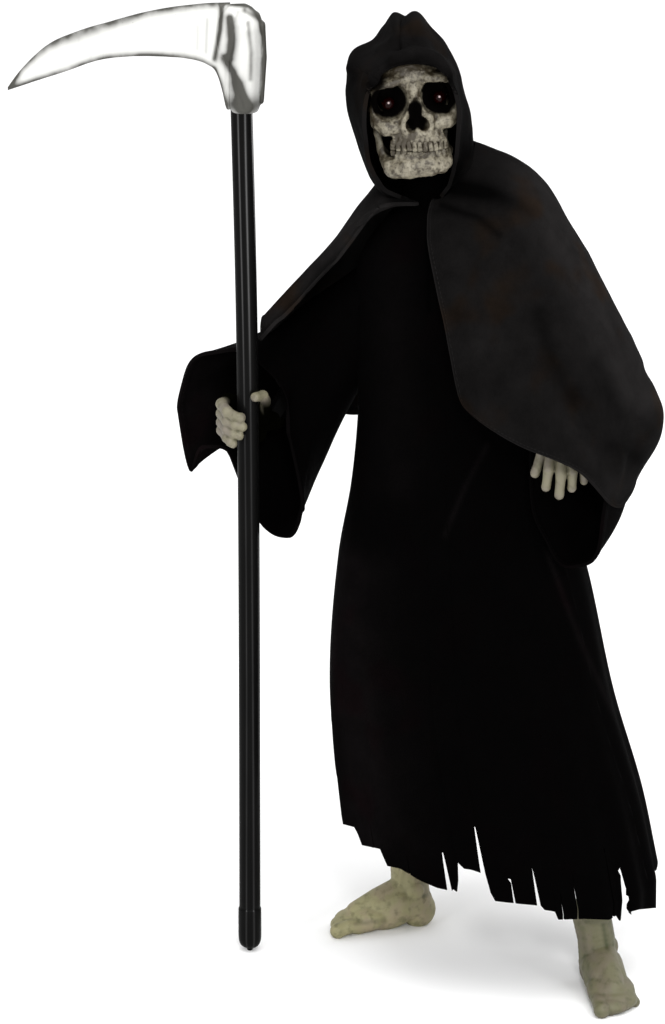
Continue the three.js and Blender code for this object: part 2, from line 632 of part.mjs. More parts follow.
function hemSlit(index) {
  const { slits, slitHeight, slitWidth } = HEM;
  const { z, centre, half } = ROBE[0];
  const angle = (index + 0.35 * Math.sin(index * 2.4)) / slits * Math.PI * 2;
  const height = slitHeight * (0.7 + 0.3 * Math.cos(index * 1.7));
  const radius = (half[0] + half[1]) / 2;
  const outline = new THREE.Shape();
  outline.moveTo(-slitWidth, 0);
  outline.lineTo(slitWidth, 0);
  outline.lineTo(0.15, height + 8);
  outline.lineTo(-0.15, height + 8);
  outline.closePath();
  const geometry = new THREE.ExtrudeGeometry(outline, { depth: 20, bevelEnabled: false });
  geometry.rotateX(Math.PI / 2);
  geometry.rotateZ(angle + Math.PI / 2);
  geometry.translate(
    centre[0] + (radius - 12) * Math.cos(angle),
    centre[1] + (radius - 12) * Math.sin(angle),
    z - 9,
  );
  return solidOf(geometry);
}

function robeSolid(grow) {
  return joined([
    robeTrunk(-grow, false),
    sleeve(RIGHT_SLEEVE, -grow, false),
    sleeve(LEFT_SLEEVE, -grow, false),
  ]);
}

function robe() {
  const inside = joined([
    robeTrunk(CLOTH, true),
    sleeve(RIGHT_SLEEVE, CLOTH, true),
    sleeve(LEFT_SLEEVE, CLOTH, true),
  ]);
  const slits = joined(Array.from({ length: HEM.slits }, (_, i) => hemSlit(i)));
  return robeSolid(0).subtract(inside).subtract(slits).subtract(dollBody(GAP));
}

// Hooded cape

function capeRib({ turn, neckZ, shoulder, bend, hem }) {
  const { centre, radius } = CAPE_NECK;
  const rings = [[radius, neckZ], shoulder, bend, hem];
  const places = rings.map(([reach, height], i) => {
    const angle = radians(lerp(turn[0], turn[1], Math.min(1, i / 2)));
    const [x, y] = centre;
    return new THREE.Vector3(x + reach * Math.sin(angle), y - reach * Math.cos(angle), height);
  });
  return new THREE.CatmullRomCurve3(places, false, 'catmullrom', CAPE_TENSION).getSpacedPoints(CAPE_ROWS);
}

function capeSheet() {
  const ribs = CAPE_RIBS.map(capeRib);
  const grid = Array.from({ length: CAPE_ROWS + 1 }, (_, row) => {
    const across = new THREE.CatmullRomCurve3(ribs.map((rib) => rib[row]), false, 'centripetal');
    return across.getPoints(CAPE_COLUMNS);
  });
  return solidOf(sheet(grid, CLOTH));
}

function hoodLoft(inset, openEnds) {
  const rings = HOOD.map(({ z, centre, half }, row) => {
    const lowered = openEnds && row === 0 ? -4 : 0;
    const level = z + lowered - (openEnds ? inset * 0.6 : 0);
    return ellipseRing(level, centre, half.map((size) => size - inset), HOOD_COLUMNS, squarer(2.5));
  });
  return solidOf(loft(rings));
}

function hoodPoint(side) {
  const { x, z, radius, halfLength } = HOOD_POINTS;
  const centreX = HOOD[HOOD.length - 1].centre[0] + side * x;
  return ellipsoid([centreX, 0, z], [radius, halfLength, radius * 0.9], 8);
}

function faceCutter() {
  const { centre, half, back, roll } = FACE_OPENING;
  const rings = [-45, back].map((y) => Array.from({ length: 20 }, (_, i) => {
    const angle = i / 20 * Math.PI * 2;
    const squared = (value) => Math.sign(value) * Math.abs(value) ** 0.78;
    return new THREE.Vector3(half[0] * squared(Math.cos(angle)), y, half[1] * squared(Math.sin(angle)));
  }));
  const geometry = loft(rings);
  geometry.rotateY(radians(roll));
  geometry.translate(centre[0], 0, centre[1]);
  return solidOf(geometry);
}

function hoodedCape() {
  const hood = joined([hoodLoft(0, false), hoodPoint(-1), hoodPoint(1)])
    .subtract(hoodLoft(CLOTH, true))
    .subtract(faceCutter());
  return hood.add(capeSheet()).subtract(robeSolid(GAP + 0.1)).subtract(headRoom());
}

// Assembly, with the middle of its footprint at the origin

const figure = new THREE.Group();
figure.add(
  mesh('skull', skull(), boneMaterial()),
  mesh('right_eye', eye(-1), jewelMaterial()),
  mesh('left_eye', eye(1), jewelMaterial()),
  mesh('body', dollBody(0), dollMaterial()),
  mesh('right_hand', grippingHand(), fleshMaterial()),
  mesh('left_hand', hangingHand(), fleshMaterial()),
  mesh('right_foot', foot('right'), fleshMaterial()),
  mesh('left_foot', foot('left'), fleshMaterial()),
  mesh('robe', robe(), blackCloth()),
  mesh('hooded_cape', hoodedCape(), blackCloth()),
  mesh('scythe_shaft', scytheShaft(), shaftMaterial()),
  mesh('scythe_blade', scytheBlade(), bladeMaterial()),
);

const bounds = new THREE.Box3().setFromObject(figure);
const middle = bounds.getCenter(new THREE.Vector3());
figure.position.set(-middle.x, -middle.y, -bounds.min.z);

const part = new THREE.Group();
part.add(figure);

export default part;
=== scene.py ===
"""The looks of a one-sixth hooded skeleton figure with a scythe, dressed in real sewn cloth.

The frame is in metres with +Z up. The figure's own sizes are in millimetres, in the axes that its
solids were drawn in, and Figure.frame turns them into the frame. The photograph is seen along +Y
from 18 degrees above, so "right" and "left" in names are the figure's own, as its hands are.
"""

import logging
import math
import random
from collections.abc import Callable, Iterable, Iterator, Sequence
from contextlib import contextmanager
from dataclasses import dataclass, field
from enum import Enum

import bmesh
import bpy
import numpy as np
from mathutils import Matrix, Vector
from mathutils.noise import fractal


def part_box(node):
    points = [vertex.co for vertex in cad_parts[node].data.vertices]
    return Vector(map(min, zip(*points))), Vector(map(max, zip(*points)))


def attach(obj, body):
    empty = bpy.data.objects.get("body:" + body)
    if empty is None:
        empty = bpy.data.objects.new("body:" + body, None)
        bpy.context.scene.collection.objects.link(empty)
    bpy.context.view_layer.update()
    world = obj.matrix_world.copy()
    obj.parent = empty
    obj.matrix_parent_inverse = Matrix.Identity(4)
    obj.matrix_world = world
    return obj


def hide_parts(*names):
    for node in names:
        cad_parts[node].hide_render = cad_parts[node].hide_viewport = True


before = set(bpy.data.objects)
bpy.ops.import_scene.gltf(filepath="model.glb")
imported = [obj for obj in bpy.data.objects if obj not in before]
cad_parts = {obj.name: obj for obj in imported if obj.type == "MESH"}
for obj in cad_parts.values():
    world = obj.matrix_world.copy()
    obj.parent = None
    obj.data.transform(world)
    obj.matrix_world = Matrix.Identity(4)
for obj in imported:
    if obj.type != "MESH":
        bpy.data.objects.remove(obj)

logging.basicConfig(level=logging.INFO, format="%(message)s")
log = logging.getLogger("figure")

Piece = bpy.types.Object
Material = bpy.types.Material
Socket = bpy.types.NodeSocket
Array = np.ndarray
Rows = tuple[tuple[float, ...], ...]
Pair = tuple[float, float]
Triple = tuple[float, float, float]
Colour = tuple[float, float, float, float]
Shape = Callable[[Array, Array], Array]
# A line in the view, in millimetres right and up from its middle, its half-width and its strength.
Mark = tuple[tuple[Pair, ...], float, float]

MM = 0.001
ROOT = "root"


class Side(Enum):
    """One of the figure's own sides, with the direction of +X that it lies in."""

    RIGHT = -1
    LEFT = 1


# Curves and numbers


def joined(start: Array, end: Array, leaving: Array, arriving: Array, t: Array) -> Array:
    """Joins rows of values by smooth curves.

    Args:
        start: The rows that the curves start from.
        end: The rows that they reach.
        leaving: Their slopes at the start.
        arriving: Their slopes at the end.
        t: How far along its curve each row is, from 0 to 1.

    Returns:
        One row of values for each t.
    """
    return (
        start * (2 * t**3 - 3 * t**2 + 1)
        + leaving * (t**3 - 2 * t**2 + t)
        + end * (3 * t**2 - 2 * t**3)
        + arriving * (t**3 - t**2)
    )


def through(levels: Array, along: Array, tension: float = 0.5) -> Array:
    """Passes a smooth curve through each point's own levels.

    Args:
        levels: For each point, its place on every level.
        along: How far along the levels each point lies, from 0 at the first one.
        tension: How much of the way between its neighbours is a level's slope.

    Returns:
        One place for each point.
    """
    last = levels.shape[1] - 1
    index = np.minimum(along.astype(int), last - 1)
    pick = np.arange(len(along))
    start, end = levels[pick, index], levels[pick, index + 1]
    before = levels[pick, np.maximum(index - 1, 0)]
    after = levels[pick, np.minimum(index + 2, last)]
    return joined(start, end, (end - before) * tension, (after - start) * tension, (along - index)[:, None])


def spline(stations: Sequence[Sequence[float]], at: Array) -> Array:
    """Passes a smooth curve through rows of values.

    Args:
        stations: One row of values for each station.
        at: Places along the curve, from 0 at the first station to 1 at the last.

    Returns:
        One row of values for each place.
    """
    rows = np.asarray(stations, float)
    last = len(rows) - 1
    along = np.clip(np.asarray(at, float), 0.0, 1.0) * last
    index = np.minimum(along.astype(int), last - 1)
    t = (along - index)[:, None]
    before = rows[np.maximum(index - 1, 0)]
    start = rows[index]
    end = rows[index + 1]
    after = rows[np.minimum(index + 2, last)]
    return joined(start, end, (end - before) / 2, (after - start) / 2, t)


def profile(stations: Sequence[Sequence[float]], at: Array) -> Array:
    """Passes a smooth curve through rows whose first value says where they stand.

    Args:
        stations: Rows of values, each starting with its place, in rising order.
        at: Places in the same measure as the rows' first values.

    Returns:
        One row of the other values for each place.
    """
    rows = np.asarray(stations, float)
    places, values = rows[:, 0], rows[:, 1:]
    steps = np.diff(places)[:, None]
    slopes = np.diff(values, axis=0) / steps
    tangents = np.vstack([slopes[:1], (slopes[:-1] + slopes[1:]) / 2, slopes[-1:]])
    where = np.clip(at, places[0], places[-1])
    index = np.clip(np.searchsorted(places, where, "right") - 1, 0, len(places) - 2)
    width = steps[index]
    t = (where - places[index])[:, None] / width
    return joined(values[index], values[index + 1], tangents[index] * width, tangents[index + 1] * width, t)


def smooth_step(low: float, high: float, value: Array) -> Array:
    """Rises softly from 0 at low to 1 at high."""
    t = np.clip((value - low) / (high - low), 0.0, 1.0)
    return t * t * (3 - 2 * t)


def wander(places: Array, scale: float, seed: float = 0.0, octaves: int = 3) -> Array:
    """Gives a soft random number for each point, from about -1 to 1.

    Args:
        places: Points in millimetres.
        scale: The size of the largest lumps, in millimetres.
        seed: Moves the pattern, so that two surfaces differ.
        octaves: How many finer patterns are added.

    Returns:
        One number for each point.
    """
    return np.array([
        fractal(Vector(place) / scale + Vector((seed, seed * 0.7, -seed)), 1.0, 2.0, octaves)
        for place in places
    ])


@dataclass(frozen=True)
class Sight:
    """How the photograph sees the figure: from the front and from above."""

    target: Triple = (0.0, 0.0, 144.0)
    elevation: float = 18.0
    distance: float = 2000.0

    def seen(self, places: Array) -> Array:
        """Says where points show in the photograph.

        Args:
            places: Points in the figure's millimetres.

        Returns:
            Millimetres to the right and up from the middle of the view, at the target's depth.
        """
        tilt = math.radians(self.elevation)
        away = places - np.asarray(self.target)
        depth = self.distance + away[:, 1] * math.cos(tilt) - away[:, 2] * math.sin(tilt)
        up = away[:, 1] * math.sin(tilt) + away[:, 2] * math.cos(tilt)
        return np.stack([away[:, 0], up], axis=1) * (self.distance / depth)[:, None]


SIGHT = Sight()


@dataclass(frozen=True)
class Figure:
    """Ties the figure's own millimetres to the frame by the scythe's blade."""

    blade_tip_x: float = -95.6
    socket_y: float = 1.0

    def frame(self) -> Matrix:
        """Finds where the figure stands in the frame.

        Returns:
            The matrix from the figure's millimetres to the frame's metres.
        """
        low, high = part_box("scythe_blade")
        x = low.x - self.blade_tip_x * MM
        y = (low.y + high.y) / 2 - self.socket_y * MM
        return Matrix.Translation((x, y, 0.0)) @ Matrix.Scale(MM, 4)


# Modelling


class Bench:
    """Adds, shapes and finishes meshes with Blender's operators."""

    def clear(self) -> None:
        """Leaves nothing selected, in object mode."""
        if bpy.context.object and bpy.context.object.mode != "OBJECT":
            bpy.ops.object.mode_set(mode="OBJECT")
        bpy.ops.object.select_all(action="DESELECT")

    def hold(self, *pieces: Piece) -> Piece:
        """Selects pieces and makes the first of them active.

        Args:
            *pieces: The pieces.

        Returns:
            The first piece.
        """
        self.clear()
        for piece in pieces:
            piece.select_set(True)
        bpy.context.view_layer.objects.active = pieces[0]
        return pieces[0]

    @contextmanager
    def editing(self, piece: Piece) -> Iterator[None]:
        """Holds a piece in edit mode, with all of it selected at the start.

        Args:
            piece: The piece.

        Returns:
            A context, which goes back to object mode at its end.
        """
        self.hold(piece)
        bpy.ops.object.mode_set(mode="EDIT")
        bpy.ops.mesh.select_all(action="SELECT")
        yield
        bpy.ops.object.mode_set(mode="OBJECT")

    def read(self, piece: Piece, what: str) -> Array:
        """Reads three numbers for each point of a mesh.

        Args:
            piece: The piece.
            what: "co" for its points, or "normal" for the ways that its surface faces there.

        Returns:
            One row for each point.
        """
        values = np.empty(len(piece.data.vertices) * 3)
        piece.data.vertices.foreach_get(what, values)
        return values.reshape(-1, 3)

    def points(self, piece: Piece) -> Array:
        """Reads a mesh's points."""
        return self.read(piece, "co")

    def place(self, piece: Piece, places: Array) -> None:
        """Moves a mesh's points."""
        piece.data.vertices.foreach_set("co", np.asarray(places, float).ravel())
        piece.data.update()

    def normals(self, piece: Piece) -> Array:
        """Reads the direction that a mesh's surface faces at its points."""
        return self.read(piece, "normal")

    def modify(self, piece: Piece, kind: str, **settings: object) -> None:
        """Adds one modifier to a piece and applies it.

        Args:
            piece: The piece to change.
            kind: The modifier's type.
            **settings: Its settings by name.
        """
        self.hold(piece)
        modifier = piece.modifiers.new(kind.lower(), kind)
        for name, value in settings.items():
            setattr(modifier, name, value)
        bpy.ops.object.modifier_apply(modifier=modifier.name)

    def grid(self, name: str, columns: int, rows: int, shape: Shape, closed: bool = False) -> Piece:
        """Shapes a grid primitive into a surface.

        Args:
            name: The piece's name.
            columns: Faces along u.
            rows: Faces along v.
            shape: Gives points in millimetres for arrays of u and v, each from 0 to 1.
            closed: Whether the two ends of u are sewn together.

        Returns:
            The new piece, with a UV map that holds u and v.
        """
        self.clear()
        bpy.ops.mesh.primitive_grid_add(x_subdivisions=columns, y_subdivisions=rows, size=2.0)
        piece = bpy.context.object
        piece.name = piece.data.name = name
        flat = (self.points(piece) + 1) / 2
        self.place(piece, shape(flat[:, 0], flat[:, 1]))
        if closed:
            self.merge(piece)
        return piece

    def merge(self, piece: Piece, distance: float = 0.001) -> None:
        """Joins points that lie on each other."""
        with self.editing(piece):
            bpy.ops.mesh.remove_doubles(threshold=distance)

    def close_ends(self, piece: Piece) -> None:
        """Fills a tube's open ends and turns its faces outwards.

        Args:
            piece: The tube.
        """
        with self.editing(piece):
            bpy.ops.mesh.remove_doubles(threshold=0.001)
            bpy.ops.mesh.select_all(action="DESELECT")
            bpy.ops.mesh.select_mode(type="VERT")
            bpy.ops.mesh.select_non_manifold()
            bpy.ops.mesh.fill_holes(sides=0)
            bpy.ops.mesh.select_all(action="SELECT")
            bpy.ops.mesh.normals_make_consistent(inside=False)

    def cut_below(self, piece: Piece, height: float) -> None:
        """Cuts a piece off flat at a height and closes it there."""
        with self.editing(piece):
            bpy.ops.mesh.bisect(plane_co=(0, 0, height), plane_no=(0, 0, 1), clear_inner=True, use_fill=True)

    def join(self, name: str, pieces: Sequence[Piece]) -> Piece:
        """Makes one piece of several.

        Args:
            name: The whole's name.
            pieces: The pieces.

        Returns:
            The whole.
        """
        whole = self.hold(*pieces)
        if len(pieces) > 1:
            bpy.ops.object.join()
        whole.name = whole.data.name = name
        return whole

    def attribute(self, piece: Piece, name: str, values: Array) -> None:
        """Stores one number for each point, for a material to read."""
        layer = piece.data.attributes.new(name, "FLOAT", "POINT")
        layer.data.foreach_set("value", np.asarray(values, np.float32))

    def settle(self, piece: Piece, smooth: float) -> None:
        """Puts a finished piece from the figure's millimetres into the frame.

        Args:
            piece: The piece, modelled in millimetres.
            smooth: The angle in degrees past which an edge stays sharp.
        """
        self.hold(piece)
        bpy.ops.object.transform_apply(location=True, rotation=True, scale=True)
        piece.data.transform(Figure().frame())
        piece.data.update()
        bpy.ops.object.shade_smooth_by_angle(angle=math.radians(smooth))


BENCH = Bench()


@dataclass
class Clay:
    """A lump built up from balls, which are fused and smoothed into one skin.

    Attributes:
        grain: The size of the skin's faces, in millimetres.
        segments: Faces round each ball.
        balls: The matrix from a unit ball to each of them.
    """

    grain: float = 0.4
    segments: int = 20
    balls: list[Matrix] = field(default_factory=list)

    def ball(self, centre: Sequence[float], half: Sequence[float], turn: Triple = (0, 0, 0)) -> None:
        """Adds an ellipsoid.

        Args:
            centre: Its middle.
            half: Half its size along each of its axes.
            turn: Its turn about X, Y and Z, in degrees.
        """
        spin = Matrix.Identity(4)
        for angle, axis in zip(turn, "XYZ"):
            spin = Matrix.Rotation(math.radians(angle), 4, axis) @ spin
        self.balls.append(Matrix.Translation(centre) @ spin @ Matrix.Diagonal((*half, 1.0)))

    def pair(self, centre: Triple, half: Triple, turn: Triple = (0.0, 0.0, 0.0)) -> None:
        """Adds an ellipsoid and its mirror image across X = 0.

        Args:
            centre: The first one's middle.
            half: Half its size along each of its axes.
            turn: Its turn about X, Y and Z, in degrees.
        """
        x, y, z = centre
        about_x, about_y, about_z = turn
        self.ball(centre, half, turn)
        self.ball((-x, y, z), half, (about_x, -about_y, -about_z))

    def limb(self, joints: Sequence[Sequence[float]], radii: Sequence[float], waist: float = 1.0) -> None:
        """Adds a run of beads through joints.

        Args:
            joints: The points that the run passes through.
            radii: Its radius at each joint.
            waist: How much of its radius each bone keeps at its middle.
        """
        for (start, radius), (end, next_radius) in zip(zip(joints, radii), zip(joints[1:], radii[1:])):
            a, b = Vector(start), Vector(end)
            count = max(2, math.ceil((b - a).length / (min(radius, next_radius) * 0.3)))
            for step in range(count + 1):
                t = step / count
                thin = 1 - (1 - waist) * math.sin(math.pi * t)
                size = (radius + (next_radius - radius) * t) * thin
                self.ball(a.lerp(b, t), (size, size, size))

    def raw(self, name: str) -> Piece:
        """Copies one ball primitive to every place.

        Args:
            name: The mesh's name.

        Returns:
            All the balls as one mesh.
        """
        BENCH.clear()
        rings = self.segments // 2
        bpy.ops.mesh.primitive_uv_sphere_add(segments=self.segments, ring_count=rings, radius=1.0)
        first = bpy.context.object
        with BENCH.editing(first):
            bpy.ops.mesh.quads_convert_to_tris()
        unit = BENCH.points(first)
        corners = np.array([face.vertices[:] for face in first.data.polygons])
        places = []
        faces = []
        for index, matrix in enumerate(self.balls):
            turn = np.array(matrix.to_3x3())
            places.append(unit @ turn.T + np.array(matrix.translation))
            faces.append(corners + index * len(unit))
        mesh = first.data
        mesh.clear_geometry()
        mesh.from_pydata(np.vstack(places), [], np.vstack(faces).tolist())
        first.name = mesh.name = name
        return first

    def fired(self, name: str, passes: int = 4, hollows: "Clay | None" = None) -> Piece:
        """Fuses the balls into one skin.

        Args:
            name: The piece's name.
            passes: How often the skin is smoothed.
            hollows: Balls that are cut out of it.

        Returns:
            The new piece.
        """
        piece = self.raw(name)
        BENCH.modify(piece, "REMESH", mode="VOXEL", voxel_size=self.grain)
        if hollows:
            cutter = hollows.raw("cutter")
            BENCH.modify(cutter, "REMESH", mode="VOXEL", voxel_size=self.grain)
            BENCH.modify(piece, "BOOLEAN", operation="DIFFERENCE", object=cutter, solver="EXACT")
            bpy.data.objects.remove(cutter)
            BENCH.modify(piece, "REMESH", mode="VOXEL", voxel_size=self.grain)
        BENCH.modify(piece, "SMOOTH", factor=0.5, iterations=passes)
        return piece


def wash_of(piece: Piece, reach: int = 6) -> Array:
    """Finds the hollows of a mesh, where a dark wash stays.

    Args:
        piece: The piece, in millimetres.
        reach: How many faces wide the hollows are.

    Returns:
        A number for each point, above 0 in a hollow and below 0 on a ridge.
    """
    places = BENCH.points(piece)
    edges = np.empty(len(piece.data.edges) * 2, int)
    piece.data.edges.foreach_get("vertices", edges)
    start, end = edges.reshape(-1, 2).T
    count = np.bincount(np.concatenate([start, end]), minlength=len(places))[:, None]
    soft = places.copy()
    for _ in range(reach):
        total = np.zeros_like(soft)
        np.add.at(total, start, soft[end])
        np.add.at(total, end, soft[start])
        soft = soft * 0.4 + total / np.maximum(count, 1) * 0.6
    return np.einsum("ij,ij->i", soft - places, BENCH.normals(piece))


def away_from(seen: Array, line: Sequence[Sequence[float]]) -> Array:
    """Measures how far points in the view are from a line.

    Args:
        seen: Points in the view, in millimetres.
        line: The line's corners, in the same millimetres.

    Returns:
        A distance for each point.
    """
    nearest = np.full(len(seen), 1e9)
    for start, end in zip(line, line[1:]):
        a, way = np.array(start), np.array(end) - np.array(start)
        t = np.clip((seen - a) @ way / (way @ way), 0, 1)
        nearest = np.minimum(nearest, np.linalg.norm(seen - a - t[:, None] * way, axis=1))
    return nearest


def marked(seen: Array, marks: Sequence[Mark]) -> Array:
    """Adds up soft marks.

    Args:
        seen: Points in the view, in millimetres.
        marks: The marks, each with a strength below 0 where it takes away.

    Returns:
        How strongly each point is marked.
    """
    total = np.zeros(len(seen))
    for line, wide, strength in marks:
        total += strength * np.exp(-((away_from(seen, line) / wide) ** 2))
    return total


# Finishes


class Value:
    """A shader socket that takes part in sums, so that a pattern reads as an expression."""

    def __init__(self, finish: "Finish", socket: Socket | float) -> None:
        """Wraps a socket of a finish's own node tree."""
        self.finish = finish
        self.socket = socket

    def math(self, operation: str, *others: "Value | float") -> "Value":
        """Adds a Math node.

        Args:
            operation: The node's operation.
            *others: Its other inputs.

        Returns:
            The node's result.
        """
        inputs = dict(enumerate((self, *others)))
        return self.finish.node("ShaderNodeMath", {"operation": operation}, inputs)

    def __add__(self, other: "Value | float") -> "Value":
        """Adds."""
        return self.math("ADD", other)

    def __radd__(self, other: float) -> "Value":
        """Adds, the other way round."""
        return self.math("ADD", other)

    def __sub__(self, other: "Value | float") -> "Value":
        """Takes away."""
        return self.math("SUBTRACT", other)

    def __mul__(self, other: "Value | float") -> "Value":
        """Multiplies."""
        return self.math("MULTIPLY", other)

    def clamp(self) -> "Value":
        """Keeps the value from 0 to 1."""
        return self.math("MAXIMUM", 0.0).math("MINIMUM", 1.0)

    def between(self, low: float, high: float) -> "Value":
        """Rises softly from 0 at low to 1 at high."""
        inputs = {"Value": self, "From Min": low, "From Max": high}
        return self.finish.node("ShaderNodeMapRange", {"interpolation_type": "SMOOTHSTEP"}, inputs)


class Finish:
    """One material, with the one shader that it ends in."""

    def __init__(self, name: str) -> None:
        """Starts an empty material.

        Args:
            name: The material's name.
        """
        self.material = bpy.data.materials.new(name)
        self.material.use_nodes = True
        self.tree = self.material.node_tree
        self.tree.nodes.clear()
        self.shader = self.tree.nodes.new("ShaderNodeBsdfPrincipled")
        self.output = self.tree.nodes.new("ShaderNodeOutputMaterial")
        self.tree.links.new(self.shader.outputs[0], self.output.inputs["Surface"])

    def node(self, kind: str, settings: dict, inputs: dict, output: int | str = 0) -> Value:
        """Adds any node.

        Args:
            kind: The node's type.
            settings: Its settings, which are set first.
            inputs: Values or links of its sockets, by name or number.
            output: Which output is used.

        Returns:
            The output, as a value.
        """
        made = self.tree.nodes.new(kind)
        for name, value in settings.items():
            setattr(made, name, value)
        for name, value in inputs.items():
            self.feed(made.inputs[name], value)
        return Value(self, made.outputs[output])

    def feed(self, socket: Socket, value: object) -> None:
        """Links a value to a socket, or sets it there.

        Args:
            socket: The socket.
            value: A Value to link, or a plain value to set.
        """
        if isinstance(value, Value):
            self.tree.links.new(value.socket, socket)
        else:
            socket.default_value = value

    def set(self, **sockets: object) -> None:
        """Sets or links the shader's own sockets, with _ for each space in a name."""
        for name, value in sockets.items():
            self.feed(self.shader.inputs[name.replace("_", " ")], value)

    def paint_and_shade_over(self, mask: Value, colour: Colour) -> None:
        """Covers the shader with a flat colour: black paint, and painted shade.

        Args:
            mask: Where the paint is, from 0 to 1.
            colour: The paint's colour.
        """
        flat = self.node("ShaderNodeBsdfDiffuse", {}, {"Color": colour, "Roughness": 1.0}, "BSDF")
        under = Value(self, self.shader.outputs[0])
        both = self.node("ShaderNodeMixShader", {}, {0: mask, 1: under, 2: flat}, 0)
        self.tree.links.new(both.socket, self.output.inputs["Surface"])

    def place(self) -> Value:
        """Gives the object coordinates."""
        return self.node("ShaderNodeTexCoord", {}, {}, "Object")

    def uv(self) -> Value:
        """Gives the piece's own UV map."""
        return self.node("ShaderNodeUVMap", {}, {})

    def kept(self, name: str) -> Value:
        """Gives a number that the mesh keeps for each point."""
        return self.node("ShaderNodeAttribute", {"attribute_name": name}, {}, "Fac")

    def scaled(self, place: Value, scale: Triple) -> Value:
        """Stretches coordinates by a Mapping node."""
        return self.node("ShaderNodeMapping", {}, {"Vector": place, "Scale": scale})

    def part(self, place: Value, axis: str) -> Value:
        """Gives one of a vector's three numbers."""
        return self.node("ShaderNodeSeparateXYZ", {}, {0: place}, axis)

    def cloud(self, place: Value, scale: float, detail: float = 3.0, roughness: float = 0.5) -> Value:
        """Gives soft noise from 0 to 1, with lumps of 1 / scale metres."""
        inputs = {"Vector": place, "Scale": scale, "Detail": detail, "Roughness": roughness}
        return self.node("ShaderNodeTexNoise", {"noise_dimensions": "3D"}, inputs, "Fac")

    def mix(self, mask: Value, first: object, second: object) -> Value:
        """Mixes two colours: the first where mask is 0, the second where it is 1."""
        return self.node("ShaderNodeMix", {"data_type": "RGBA"}, {0: mask, 6: first, 7: second}, 2)

    def bump(self, height: Value, distance: float, strength: float = 1.0) -> Value:
        """Gives a normal from a height from 0 to 1, over a real depth in metres."""
        inputs = {"Height": height, "Distance": distance, "Strength": strength}
        return self.node("ShaderNodeBump", {}, inputs, "Normal")


def shade(value: float, warmth: float = 0.0) -> Colour:
    """Gives a grey as a linear colour, made warmer or cooler."""
    return (value * (1 + warmth), value, value * (1 - warmth), 1.0)


@dataclass(frozen=True)
class SewnCloth:
    """Black woven cotton: a fine weave, lint, soft fading, hems with a row of stitches and a lighter band
    along them, and painted light and painted shade.

    Attributes:
        name: The material's name.
        dark: The cloth's deep colour.
        worn: The colour where it is faded, and where painted light is drawn.
        tint: How much red, green and blue both hold.
        rust: The colour of the rusty patches.
        pitch: The distance between threads, in metres.
        hem: How far the stitches run from the edge, in metres.
        stitch: The length of a stitch and its gap, in metres.
    """

    name: str
    dark: float = 0.0002
    worn: float = 0.0034
    tint: Triple = (1.14, 0.93, 0.98)
    rust: Triple = (0.0046, 0.0026, 0.003)
    pitch: float = 0.00042
    hem: float = 0.0017
    stitch: float = 0.0015

    def make(self) -> Material:
        """Builds the finish.

        Returns:
            Its material.
        """
        finish = Finish(self.name)
        place = finish.place()
        uv = finish.uv()
        turns = 2 * math.pi / self.pitch
        warp = finish.part(uv, "X").math("MULTIPLY", turns).math("SINE")
        weft = finish.part(uv, "Y").math("MULTIPLY", turns).math("SINE")
        weave = warp * weft * 0.5 + 0.5
        lint = finish.cloud(place, 2600.0, 2.0, 0.7)
        faded = finish.cloud(place, 90.0, 5.0, 0.7).between(0.05, 1.0)
        rusty = finish.cloud(place, 55.0, 2.0, 0.5).between(0.52, 0.68)
        edge = finish.kept("edge")
        along = finish.kept("along")
        row = (edge - self.hem).math("ABSOLUTE").between(0.00028, 0.0001)
        dash = along.math("MULTIPLY", 2 * math.pi / self.stitch).math("SINE").between(-0.5, 0.1)
        stitch = row * dash
        # A lighter band within 0.9 mm of the edge.
        lighter_near_edge = edge.between(0.0009, 0.0)
        # The sheet's fade attribute adds painted light and painted shade to the fading.
        worn = ((faded * 0.5 + lint * 0.5) * finish.kept("fade_and_painted_light") + lighter_near_edge * 0.2 + stitch * 0.3).clamp()
        red, green, blue = self.tint
        dark, light = ((red * tone, green * tone, blue * tone, 1.0) for tone in (self.dark, self.worn))
        colour = finish.mix(worn, dark, finish.mix(rusty, light, (*self.rust, 1.0)))
        height = weave * 0.35 + lint * 0.45 + stitch * 0.8
        finish.set(
            Base_Color=colour,
            Roughness=0.85,
            Specular_IOR_Level=0.008,
            Normal=finish.bump(height, 0.00014, 0.8),
        )
        return finish.material


@dataclass(frozen=True)
class AgedBone:
    """Ivory plastic with an olive-brown wash in its hollows and black paint in its sockets; on the skull,
    painted shade from the hood is drawn in with the wash, and painted shadow as flat black.
    """

    name: str = "aged_bone"
    ivory: Colour = (0.184, 0.165, 0.12, 1.0)
    olive: Colour = (0.026, 0.019, 0.009, 1.0)
    black: Colour = (0.0012, 0.001, 0.0009, 1.0)

    def make(self) -> Material:
        """Builds the finish.

        Returns:
            Its material.
        """
        finish = Finish(self.name)
        place = finish.place()
        mottle = finish.cloud(place, 420.0, 4.0, 0.62)
        pits = finish.cloud(place, 1500.0, 3.0, 0.6)
        # On the skull, the "wash" attribute also holds painted shade: the hood's shade on the brow, above the
        # right socket and down the face's right side.
        hollow = finish.kept("wash")
        patch = finish.cloud(place, 190.0, 3.0, 0.6)
        stain = (hollow * 1.25 + mottle.between(0.38, 0.7) * 0.85 + pits.between(0.46, 0.74) * 0.5).clamp()
        stain = (stain + patch.between(0.5, 0.68) * 0.35).clamp()
        finish.set(
            Base_Color=finish.mix(stain, self.ivory, self.olive),
            Roughness=(0.42 + pits * 0.2).clamp(),
            Specular_IOR_Level=0.45,
            Normal=finish.bump(pits * 0.5 + mottle * 0.5, 0.00035, 0.7),
        )
        # Flat black: black paint in the sockets and the nose, and painted shadow at the temple, beside the
        # jaw and under the chin.
        finish.paint_and_shade_over(finish.kept("paint").clamp(), self.black)
        return finish.material


